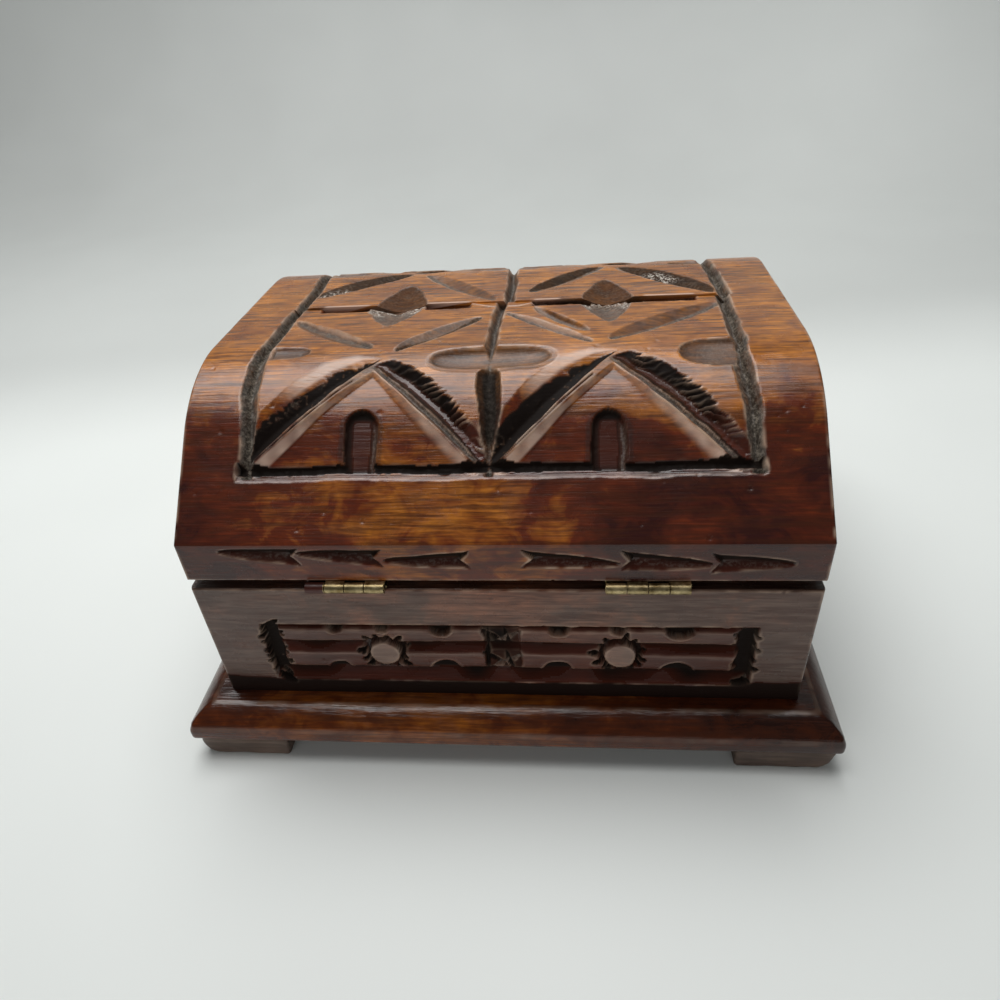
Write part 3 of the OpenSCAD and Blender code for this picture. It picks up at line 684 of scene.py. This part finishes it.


# The left and the right panel of the back plank, as the photo shows them, and of the
# front plank, completed to match
# Tints of a cut's sides as dust, shade and black, pale: one facet painted pale as if lit, facets painted half
# and fully dark as shade, and a grey dusty one
LIGHT, BROWN, GREY, DEEP = (0.1, 0, 0.9), (0.1, 0.5, 0), (0.5, 0.4, 0.15), (0.3, 0.9, 0)
OLIVE, DUSTY, CHALKY = (0.6, 0.72, 0), (0.9, 0.45, 0), (0.7, 0.1, 0.5)     # tints of a cut's floor
BACK_PANELS = (
    dict(apex=(-38.8, 57.8), feet=((-75.5, 25.5), (-5, 24)), niche=(-41.3, 6.6, 43.8),
         leaves=(((-75, 96), (-41.5, 70.5), 1, 3.6, LIGHT, BROWN, 0, 1.3, DUSTY),
                 ((-33.5, 68), (-7, 93.5), 3, 1.2, GREY, LIGHT, 0, 1.7, OLIVE)),
         star=(-40, 11.5, 11, 20), slots=((-68, -51), (-28.5, -13))),
    dict(apex=(37.6, 58.6), feet=((2.5, 24.8), (73.5, 23.2)), niche=(35.7, 6.8, 42.5),
         leaves=(((1.5, 97), (31, 70), 1.3, 1, LIGHT, LIGHT, 0, 1.2, DUSTY),
                 ((11, 102), (30, 79), 1.2, 2, BROWN, GREY, 0.3, 1, CHALKY),
                 ((37, 71.5), (76, 99), 5, 2.2, BROWN, BROWN, 0, 1.2, DUSTY)),
         star=(37, 10, 10, 22), slots=((11, 20), (50.5, 68)), holes=((20.5, 31), (45, 49.5))),
)
FRONT_PANELS = (
    dict(apex=(-38, 61), feet=((-74.5, 25), (-4, 25.5)), niche=(-37.5, 6.7, 43.2),
         leaves=(((-42, 73), (-75, 106), 8.5, 1.2, DEEP, LIGHT, 0.4, 1, CHALKY),
                 ((-9, 98), (-37, 70.5), 4.5, 1.5, DEEP, BROWN, 0, 1.6, DUSTY)),
         star=(-37, 9.5, 9, 22)),
    dict(apex=(40, 62), feet=((5, 25), (75.5, 26)), niche=(40.5, 6.8, 43.6),
         leaves=(((34.5, 73), (4, 106), 4.5, 1.4, BROWN, LIGHT, 0, 1.2, DUSTY),
                 ((74, 95), (40, 71.5), 8, 1.2, DEEP, LIGHT, 0.5, 1, CHALKY)),
         star=(38.5, 10, 9.5, 23)),
)
TORN = ((66, 92), (-63, 84))          # middles of two torn patches on the front plank
# The fishtail cuts on the band: tip, notched tail, and the widths above and below
DARTS = (((-85.5, -2.6), (-59, -4.4), 2.9, 3.5), ((-60.5, -3.2), (-33, -5.4), 3.2, 3.2),
         ((-33.5, -6.2), (-6, -6), 3.3, 3.1), ((38.5, -7.4), (8.5, -5.6), 3.4, 3.2),
         ((65.5, -7.8), (38, -6), 3.5, 3.6), ((89, -7.4), (64.5, -7), 3.3, 3.5))


def carve_plank(f, panels, seed):
    """All the carving of one plank of the lid."""
    sway = noise(f.v, f.v * 0, 30, seed)
    for k, panel in zip((10, 50), panels):
        (left_foot, right_foot), apex = panel["feet"], panel["apex"]
        gable(f, apex, left_foot, right_foot, k)
        niche(f, *panel["niche"], k + 8)
        for m, (p, q, left, right, *look) in enumerate(panel["leaves"]):
            f.leaf(p, q, left, right, 1.9, k + 10 + 3 * m, *look)
        cx, left, right, down = panel["star"]
        near = int("slots" in panel)
        # Star hollows: grey dust with painted shade and dark red shade inside, torn white in the near ones
        f.star(cx, RIDGE_U, left, right, down, 3, k + 20, near,
               patina=0.35 + 0.45 * near, dark=0.6 - 0.3 * near, red=0.3)
        # Slot walls are painted dark red and hole walls black, as shade
        for x0, x1 in panel.get("slots", ()):
            ridge_slot(f, x0, x1, 1.5, 4.5, k + 24, red=1)
        for x0, x1 in panel.get("holes", ()):
            ridge_slot(f, x0, x1, 3, 4.5, k + 26, dark=1)
    # The lenses' insides are painted darker as shade over grey dust, and their rims pale as a highlight
    f.lens(-1, 62.6, 21.2, 6.6, 0.8, 0.03, 999, 0.6, patina=0.15, dark=0.25)
    f.lens(-1.5, 63.4, 19.6, 5.2, 2.8, 0.03, 999, 0.4, patina=0.35, dark=0.45)
    f.lens(76.5, 63, 18.5, 6.6, 2.4, 0, BORDER_X - 2.5, 0.3, patina=0.4, dark=0.5)
    f.lens(-78, 68.8, 15.5, 3.6, 1.6, 0, BORDER_X - 3, 0.2, patina=0.3, dark=0.5)
    # The border grooves, and the middle groove with its swelling low down; their cores, shaded halves and the
    # swelling are painted dark as shade, over grey dust
    high = f.v > BORDER_U - 1.5
    for side in (-1, 1):
        offset = np.where(high, f.x - side * (BORDER_X - 1.2) + sway * 1.2, 99)
        width = np.interp(f.v, [20, 30, 52, 60, 75, RIDGE_U], [2.5, 2.4, 3.1, 2.9, 2.5, 2.5])
        f.groove(offset, width, 3, side * 0.2, 0.35, side, patina=1)
    width = np.interp(f.v, [20, 30, 38, 50, 56, 59, 70, RIDGE_U], [1.8, 2.6, 3.5, 4.2, 3.8, 2.4, 2.1, 2.1])
    swollen = window(f.v, 26, 36, 56, 61)
    f.groove(np.where(high, f.x + 1 + sway, 99), width, 3.2, 0, 0.3,
             patina=0.8 - 0.65 * swollen, dark=0.85 * swollen)
    # The border along the foot of the fields: the wall under them is painted black as shadow, and the lip's
    # edge pale as a highlight line
    reach = np.where(np.abs(f.x) < BORDER_X + 1.2, f.v - BORDER_U - 0.7 - 0.25 * np.sin(f.x / 9), 99)
    across = (reach + 0.3 * f.rough(7, 61) + 0.12 * f.rough(1.6, 62)) / 3.2
    section = np.interp(across, [-1, -0.9, -0.4, -0.15, 0.5, 1], [0, 0.1, 0.22, 0.95, 1, 0])
    f.cut(3.2 * section * (1 + 0.08 * f.rough(1.3, 63)), dark=smooth(across, -0.34, -0.24),
          pale=np.interp(across, [-0.98, -0.94, -0.86, -0.5, -0.42, -0.32], [0.6, 0.6, 0, 0, 0.25, 0]),
          patina=np.interp(across, [-0.7, -0.5, -0.35, -0.26], [0.1, 0.8, 0.8, 0]), red=0.25)
    f.calm = np.maximum(f.calm, 0.8 * (np.abs(across) < 1.3))
    for n, dart in enumerate(DARTS):
        f.dart(*dart, 2.2, 80 + n)


def lid_field(panels, seed):
    rows = np.concatenate([np.arange(-BAND_H, -0.2, STEP), np.arange(0, RIDGE_U - 0.1, STEP), [RIDGE_U]])
    f = Field(HALF_W, rows, seed)
    carve_plank(f, panels, seed)
    from_seam = smooth(RIDGE_U - f.v, 0.5, 9)
    f.h += (0.16 * f.rough(22, 91) + 0.05 * f.rough(6, 92)) * from_seam + 0.008 * f.rough(1.3, 93)
    f.h -= 0.12 * unit(1 - np.abs(f.v) / 1) ** 2
    f.pits(60, 0.35)
    f.roll_edges(0.7, 0.5, 0)
    return f


def back_lid_field():
    """The back plank, with an edge that drops to the seam and a raised arris beside it, painted pale as a
    highlight line.
    """
    f = lid_field(BACK_PANELS, 3)
    near_seam = unit(1 - (RIDGE_U - f.v) / 1.2)
    f.h -= 0.3 * near_seam * (np.abs(f.x) < BORDER_X) * (np.abs(f.x + 1.5) > 12)
    arris = RIDGE_U - 4.2 + 4.2 * smooth(np.abs(f.x - 0.5), 3, 15)
    arris = fade(np.abs(f.v - arris), 0.25, 0.7) * (np.abs(f.x - 0.5) < 15)
    f.tint("pale", 0.7 * arris)
    f.h += 0.25 * arris
    return f


def front_lid_field():
    """The front plank: torn patches, a raised edge and lips across from the slots painted pale as a
    highlight.
    """
    f = lid_field(FRONT_PANELS, 7)
    for x, v in TORN:
        gone = np.hypot((f.x - x) / 11, (f.v - v) / 7) + 0.3 * f.rough(4, 97)
        f.tint("white", fade(gone, 0.5, 1.1) * smooth(-f.h, 0.3, 0.9))
    f.h += 0.5 * smooth(f.v, RIDGE_U - 16, RIDGE_U - 2) * (np.abs(f.x) < BORDER_X - 3)
    for panel in BACK_PANELS:
        for x0, x1 in panel["slots"]:
            along = window(-f.x, x0 - 1, x0 + 1, x1 - 1, x1 + 1)
            f.tint("pale", 0.9 * along * smooth(f.v, RIDGE_U - 1.6, RIDGE_U - 0.6))
    return f


LID_WOODS = [lid_wood, inner_wood, lid_gouges]
lid_back = board("lid_back_plank", back_lid_field(), LidPlace(False), LID_WOODS, 0)
lid_front = board("lid_front_plank", front_lid_field(), LidPlace(True), LID_WOODS, 0)
for piece, node in ((lid_back, "lid_back_half"), (lid_front, "lid_front_half")):
    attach(piece, "lid")
    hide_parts(node)


# -------- the carved body boards
PANEL_LOW, PANEL_HIGH, PANEL_D = 6.3, 33.4, 3.5
BOSS_V, BOSS_R = 19.8, 5.3
# Section of the panel up the board: two strips, each with a long flank that faces up. Its shade is painted by
# facing: dark red on the up-facing flanks, black at their tops beside the strip above
SECTION_V = (PANEL_LOW, 7.4, 10.8, 11.3, 12.6, 13.6, 18.8, 19.8, 20.6,
             23.2, 23.7, 25, 25.9, 30, 30.8, 31.4, 32.8, PANEL_HIGH)
SECTION_DEPTH = (0.1, 0.9, 3.2, 3.3, 1.2, 0.5, 0.35, 0.6, 1.2, 3.2, 3.3, 1.2, 0.5, 0.4, 0.7, 1.4, 3.1, 3.2)
SECTION_DARK = (0.4, 0.62, 0.88, 1, 0.95, 0.45, 0.3, 0.3, 0.5, 0.8, 1, 0.95, 0.35, 0.1, 0.3, 0.6, 0.85, 1)
SECTION_RED = (1, 1, 1, 1, 0.9, 0.75, 0.6, 0.8, 1, 1, 1, 0.8, 0.5, 0.3, 0.6, 1, 1, 1)


def carve_panel(f, x0, x1, bosses, top_nicks, low_nicks, middle, seed):
    """A sunk panel with two rounded strips, bosses, nicks and crossed cuts."""
    rng = np.random.default_rng(seed)
    inset = np.minimum.reduce([f.x - x0, x1 - f.x, f.v - PANEL_LOW, PANEL_HIGH - f.v]) + 0.2 * f.rough(4, 1)
    inside = unit(inset / 0.35)
    v = f.v - 0.45 * noise(f.x, f.v * 0, 16, seed) * window(f.v, PANEL_LOW, 12, 30, 33)
    depth, dark, red = (np.interp(v, SECTION_V, values)
                        for values in (SECTION_DEPTH, SECTION_DARK, SECTION_RED))
    end = smooth(np.minimum(f.x - x0, x1 - f.x) + 0.8 * f.rough(2.5, 3), 6.4, 4.4)
    low = smooth(f.v, PANEL_LOW, 11)
    depth = depth * (1 - end) + PANEL_D * low * end
    nicked = np.zeros_like(f.h)
    for nicks, middle_v in ((top_nicks, 32.2), (low_nicks, 11.6)):
        for x, r in nicks:
            d = np.hypot(f.x - x, f.v - middle_v) + 0.3 * f.rough(2, 4)
            nicked = np.maximum(nicked, fade(d, r - 0.5, r + 0.2) * (f.v > 10.9))
            depth = depth - 0.3 * unit(1 - np.abs(d - r - 0.7) / 0.5) * (f.v > 11.5) * (f.v < 30)
    depth = depth * (1 - nicked) + PANEL_D * nicked
    for x in bosses:
        d = np.hypot(f.x - x, f.v - BOSS_V) + 0.25 * f.rough(3, 6)
        moat = fade(d + 0.7 * f.rough(1.6, 9), BOSS_R + 1.2, BOSS_R + 2.2)
        depth = depth * (1 - moat) + PANEL_D * moat
        dark = np.maximum(dark, moat)
        depth = depth * smooth(d, BOSS_R - 0.2, BOSS_R + 0.35)
    for x in middle:
        knot = fade(np.abs(f.x - x) + 0.8 * f.rough(3, 12), 5.4, 6.8) * smooth(f.v, 10.5, 12)
        depth = np.maximum(depth, 1.3 * knot)
        dark = np.maximum(dark, 0.9 * knot)
    # Painted shade, with the moats and the middle knot above: the nicks and the cut ends are painted black
    dark = unit(np.maximum(dark * (0.85 + 0.45 * f.rough(9, 7)), np.maximum(nicked, end * low)))
    red = red * (1 - nicked)
    # Pale highlight lines painted along the crests of the strips
    crest = unit(1 - np.abs(v - 19.4) / 0.45) + unit(1 - np.abs(v - 30.5) / 0.4)
    pale = 0.35 * crest * (1 - dark) * (1 - end)
    f.cut((depth + 0.1 * f.rough(3, 2)) * inside, red=red, dark=dark, pale=pale)
    f.calm[:] = 0.45
    # Painted reflection and shade: the board's foot below the panel is painted black-red, higher past the
    # panel's ends, where it would mirror the dark plinth ledge
    past = smooth(np.maximum(x0 - f.x, f.x - x1), -3, 3)
    rim = PANEL_LOW + 0.2 + 1.6 * past + (0.4 + 0.6 * past) * f.rough(9, 8)
    rim = 0.97 * fade(f.v, rim - 0.4 - 0.8 * past, rim + 0.3 + 0.6 * past)
    f.tint("dark", rim)
    f.tint("red", rim)
    # Short slanting cuts at both ends, round the bosses and across the middle, painted black as shade, some
    # grey, and some with a painted bluish reflection
    black, grey, bluish = (0, 1, 0), (0.45, 0.7, 0), (0.55, 0.35, 0.1)
    for edge, way in ((x0, 1), (x1, -1)):
        for n, v in enumerate(np.arange(PANEL_LOW + 2.5, PANEL_HIGH - 1, 1.9)):
            a = (edge + way * rng.uniform(-2.4, 0.6), v + rng.uniform(-1, 1))
            b = (edge + way * rng.uniform(3.8, 8), v + rng.uniform(-4.5, 4.5))
            f.leaf(a, b, 1.2, 1.2, 3.7, 10, grey if n % 3 == 1 else black, black)
    for x in bosses:
        for angle in np.arange(10, 360, 24) + rng.uniform(-8, 8, 15):
            c, s = math.cos(math.radians(angle)), math.sin(math.radians(angle))
            reach = BOSS_R + rng.uniform(2.8, 5.6)
            a, b = (x + BOSS_R * c, BOSS_V + BOSS_R * s), (x + reach * c, BOSS_V + reach * s)
            f.leaf(a, b, 1.3, 1.3, 3.6, 12, black, black)
    for x in middle:
        for low, high in ((22, 31.5), (11, 20.5)):
            f.leaf((x - 7, high), (x + 3, low + 1), 2.2, 1.4, 3, 14, bluish, black)
            f.leaf((x - 6, low), (x + 7, high - 1), 1.5, 2.4, 3.2, 15, black, bluish)
            f.leaf((x + 1, high + 1), (x + 3.5, low - 1.5), 1.3, 1.6, 3.3, 16, black, black)
        f.leaf((x - 5, PANEL_LOW + 3), (x - 4.5, PANEL_HIGH), 1.2, 1.4, 3.6, 17, black, black)
    # Boss tops: cleared of the painted shade and given a faint pale tint
    for x in bosses:
        boss = fade(np.hypot(f.x - x, f.v - BOSS_V), BOSS_R - 0.5, BOSS_R)
        for name in ("dark", "red"):
            f.masks[name] = f.masks[name] * (1 - boss)
        f.tint("pale", 0.18 * boss)


# The ends, the bosses, the top and low nicks and the crossed cuts of each kind of panel
BACK_PANEL = (-80, 82, (-39.3, 39.4),
              ((-55, 2.8), (-39, 2.4), (-19.5, 3.9), (19.5, 3.6), (38.8, 2.6), (58, 4.6)),
              ((-56, 3.9), (-19, 5), (18.8, 4.9), (58, 5.2)), (0.6,))
FRONT_PANEL = (-81, 80, (-39.5, 39.2),
               ((-59, 3.8), (-38.5, 1.8), (-20, 3.4), (19, 3.4), (39, 1.7), (56, 3.2)),
               ((-58, 4.4), (-20, 4.2), (19.5, 4.6), (57, 3.9)), (-0.4,))
SIDE_PANEL = (-75.5, 75.5, (0,), ((-56, 3.2), (-37, 3.8), (-18, 3), (19, 3.4), (38, 3.7), (57, 3.2)),
              ((-38, 4.4), (38, 4.6)), ())
SIDE_HALF = -BACK_Y - WALL
BOARD_WOODS = [body_wood, inner_wood, body_gouges]
END_WOODS = [body_end_wood, inner_end_wood, body_gouges]


def body_board(name, node, half, seed, panel, distance, turns, corner_roll, woods):
    f = Field(half, np.linspace(0, BODY_H, int(round(BODY_H / STEP)) + 1), seed)
    carve_panel(f, *panel, seed)
    f.h += 0.12 * f.rough(24, 91) + 0.04 * f.rough(7, 92)
    f.pits(40, 0.25)
    f.roll_edges(corner_roll, 0, 0.6)
    piece = board(name, f, WallPlace(distance, turns), woods)
    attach(piece, "base")
    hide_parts(node)


body_board("back_board", "body_back_board", HALF_W, 21, BACK_PANEL, -BACK_Y, 0, 0.9, BOARD_WOODS)
body_board("front_board", "body_front_board", HALF_W, 22, FRONT_PANEL, -BACK_Y, 2, 0.9, BOARD_WOODS)
body_board("right_end_board", "body_right_end", SIDE_HALF, 23, SIDE_PANEL, HALF_W, 1, 0.15, END_WOODS)
body_board("left_end_board", "body_left_end", SIDE_HALF, 24, SIDE_PANEL, HALF_W, 3, 0.15, END_WOODS)


# -------- plinth and feet
EDGE_H, BEVEL_H, LEDGE = 5.3, 5.9, 5.4
BEVEL_W = PLINTH_X - HALF_W - LEDGE
SWELL = 0.8


def plinth_profile():
    """Inset, height above the feet and share of rub and painted highlight of points up the plinth's side."""
    points = [(0.9, 0, 0), (0.4, 0.15, 0.2), (0.1, 0.6, 0.1)]
    points += [(0, z, 0) for z in np.linspace(1.2, EDGE_H - 2.2, 4)]
    points += [(0.06, EDGE_H - 1.4, 0), (0.25, EDGE_H - 0.6, 0.2), (0.6, EDGE_H + 0.2, 0.2)]
    slope = math.hypot(BEVEL_W, BEVEL_H)
    for t in np.linspace(0.14, 0.9, 12):
        bulge = SWELL * 4 * t * (1 - t)
        points.append((BEVEL_W * t - bulge * BEVEL_H / slope,
                       EDGE_H + BEVEL_H * t + bulge * BEVEL_W / slope, 0))
    points += [(BEVEL_W - 0.3, EDGE_H + BEVEL_H - 0.2, 0.5), (BEVEL_W + 0.5, EDGE_H + BEVEL_H, 0.4)]
    points += [(BEVEL_W + m, EDGE_H + BEVEL_H, 0) for m in (1.2, 2.4, 3.6, 4.8, LEDGE + 1.5)]
    return points


def ring(inset, z):
    """Points round the plinth at an inset and a height, with rounded corners."""
    per_side, corner = 230, 1.6
    x_out, y_out = PLINTH_X - inset, PLINTH_Y - inset
    s = np.linspace(-1, 1, per_side + 1)[:-1]
    t = 0.75 * s + 0.25 * np.sin(math.pi / 2 * s)
    xs = np.concatenate([t * x_out, np.full(per_side, x_out), -t * x_out, np.full(per_side, -x_out)])
    ys = np.concatenate([np.full(per_side, -y_out), t * y_out, np.full(per_side, y_out), -t * y_out])
    cx, cy = np.abs(xs) - (x_out - corner), np.abs(ys) - (y_out - corner)
    out = (cx > 0) & (cy > 0)
    reach = np.hypot(cx, cy) + 1e-9
    shrink = np.where(out & (reach > corner), corner / reach, 1)
    xs = np.where(out, np.sign(xs) * (x_out - corner + cx * shrink), xs)
    ys = np.where(out, np.sign(ys) * (y_out - corner + cy * shrink), ys)
    return np.stack([xs, ys, np.full_like(xs, FOOT_H + z)], -1)


def make_plinth():
    rings, wear = [], []
    for inset, z, worn in plinth_profile():
        points = ring(inset, z)
        x, y = points[:, 0], points[:, 1]
        free = smooth(z, 0.1, 2) * fade(inset, BEVEL_W + 2, BEVEL_W + LEDGE)
        chatter = 0.05 * noise(x + 2 * z, y + 2 * z, 2.2, 31) * smooth(z, EDGE_H - 1, EDGE_H + 2)
        lump = 0.2 * noise(x, y, 24, 32) + 0.05 * noise(x + z, y - z, 6, 33) + chatter
        points[:, 2] += (lump - 0.12) * free
        rings.append(points)
        # Uneven rub and painted highlight along the plinth's arrises
        wear.append(worn * unit(0.45 + 0.5 * noise(x, y, 9, 34) + 0.3 * noise(x, y, 2.5, 35)))
    piece = skinned("bevelled_plinth", rings, plinth_wood)
    paint(piece, "wear", wear)
    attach(piece, "base")
    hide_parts("plinth")


make_plinth()

# Share of the foot's height and inset of each ring of a foot, and its outer lower round
FOOT_RINGS = ((0, 0.7), (0.03, 0.35), (0.08, 0.15), (0.15, 0.05), (0.25, 0), (0.38, 0.05),
              (0.52, 0), (0.65, 0.05), (0.8, 0), (0.93, 0.1), (1, 0.3))
FOOT_ROUND = 6


def make_foot(node, seed):
    """A hand cut block with a rounded outer lower edge."""
    low, high = box_mm(node)
    middle, half = (low + high) / 2, (high - low) / 2
    outer = np.sign(middle[:2])
    outline = []
    for way in ((1, 1), (-1, 1), (-1, -1), (1, -1)):
        radius = 4 if tuple(outer) == way else 1.2
        start = math.atan2(way[1], way[0]) - math.pi / 4
        corner = np.array(way) * (half[:2] - radius)
        outline += [corner + radius * np.array([math.cos(a), math.sin(a)])
                    for a in np.linspace(start, start + math.pi / 2, 9)]
    ends = outline[1:] + outline[:1]
    outline = np.array([p + (q - p) * t for p, q in zip(outline, ends)
                        for t in np.arange(0, 1, 1 / max(1, int(np.hypot(*(q - p)) / 1.2)))])
    rings = []
    for share, inset in FOOT_RINGS:
        z = share * FOOT_H
        hollow = 0.2 + 0.2 * noise(outline[:, 0] + 2 * z, outline[:, 1], 5, seed)
        around = outline * (1 - (inset + hollow)[:, None] / half[:2])
        away = outer[0] * around[:, 0]
        rounded = FOOT_ROUND - math.sqrt(FOOT_ROUND ** 2 - max(FOOT_ROUND - z, 0) ** 2)
        around[:, 0] = outer[0] * np.where(away > 0, away * (1 - rounded / half[0]), away)
        rings.append(np.column_stack([middle[:2] + around, np.full(len(outline), z)]))
    piece = skinned("cut_" + node, rings, foot_wood)
    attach(piece, "base")
    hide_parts(node)


for seed, node in enumerate(sorted(n for n in frame["nodes"] if n.startswith("foot_"))):
    make_foot(node, 60 + seed)
for name, node in frame["nodes"].items():
    if "hinge" in name or name in ("lid_left_end", "lid_right_end"):
        node.data.materials.clear()
        node.data.materials.append(aged_brass if "hinge" in name else end_wood)


# -------- camera, light and floor
CAMERA_AT = Vector((26.01, -262.92, 227.95)) * MM
YAW, PITCH_DOWN, ROLL = (math.radians(a) for a in (-7.33, 35.91, -4.86))
FOCAL = 0.7475          # focal length as a share of the image's width
SENSOR = 36


def make_camera():
    data = bpy.data.cameras.new("camera")
    data.sensor_width = SENSOR
    data.lens = SENSOR * FOCAL
    data.clip_start = 0.01
    camera = linked("camera", data)
    level = math.cos(PITCH_DOWN)
    ahead = Vector((math.sin(YAW) * level, math.cos(YAW) * level, -math.sin(PITCH_DOWN)))
    right = Vector((math.cos(YAW), -math.sin(YAW), 0))
    up = right.cross(ahead)
    c, s = math.cos(ROLL), math.sin(ROLL)
    right, up = c * right + s * up, c * up - s * right
    turn = Matrix((right, up, -ahead)).transposed()
    camera.matrix_world = Matrix.Translation(CAMERA_AT) @ turn.to_4x4()
    bpy.context.scene.camera = camera


def area_light(name, at, aim, size, power, glossy=True):
    data = bpy.data.lights.new(name, "AREA")
    data.shape = "RECTANGLE"
    data.size, data.size_y = size
    data.energy = power
    lamp = linked(name, data)
    lamp.visible_glossy = glossy
    lamp.location = at
    lamp.rotation_euler = (Vector(aim) - Vector(at)).to_track_quat("-Z", "Y").to_euler()


# The sweep in metres: how far it reaches, where it bends, the radius there and its height
REACH, BEND_Y, BEND_R, SWEEP_H = 4, 0.55, 0.35, 1.5


def make_floor():
    """A pale seamless sweep: a floor that curves up into a backdrop behind the box."""
    profile = [(-REACH, 0), (BEND_Y, 0)]
    for i in range(1, 13):
        a = math.pi / 2 * i / 12
        profile.append((BEND_Y + BEND_R * math.sin(a), BEND_R * (1 - math.cos(a))))
    profile.append((BEND_Y + BEND_R, SWEEP_H))
    points = [(x, y, z) for y, z in profile for x in (-REACH, REACH)]
    faces = [(2 * i, 2 * i + 1, 2 * i + 3, 2 * i + 2) for i in range(len(profile) - 1)]
    s = Shader("pale_sweep")
    # Painted light and shade on the sweep: brightest about the box, painted darker behind it and up the
    # backdrop, and brighter to the right at the back
    y = s.plus(s.axis("Y"), s.times(s.axis("X"), -0.12))
    level = s.plus(s.smoothstep(y, -0.2, 0.05, 0, 0.07), s.smoothstep(y, 0.12, 0.3, 0, -0.24))
    level = s.plus(level, s.smoothstep(y, 0.3, 0.95, 0.78, 0.66))
    right = s.times(s.smoothstep(s.axis("X"), 0, 0.45, 0, 0.17), s.smoothstep(y, 0.3, 0.8))
    level = s.plus(s.plus(level, right), s.ramp(s.texture(6, 6, 2), 0.3, 0.7, -0.015, 0.015))
    shades = {"Red": s.times(level, 0.965), "Green": level, "Blue": s.times(level, 0.97)}
    s.surface(s.node("ShaderNodeCombineColor", shades).outputs[0], 0.6)
    floor = new_object("sweep", np.array(points) / MM, faces, [s.material], len(faces))


def make_world():
    world = bpy.data.worlds.new("studio")
    bpy.context.scene.world = world
    world.use_nodes = True
    sky = world.node_tree.nodes["Background"].inputs
    sky["Color"].default_value = (0.95, 0.97, 1, 1)
    sky["Strength"].default_value = 0.06


make_camera()
make_floor()
make_world()
area_light("overhead", at=(-0.19, 0.28, 1.2), aim=(-0.05, 0.05, 0.05), size=(1.05, 1), power=16.5)
area_light("low_fill", at=(-0.1, -1.15, 0.24), aim=(0, 0, 0.04), size=(1.7, 0.36), power=4.5, glossy=False)
bpy.context.scene.view_settings.view_transform = "Standard"
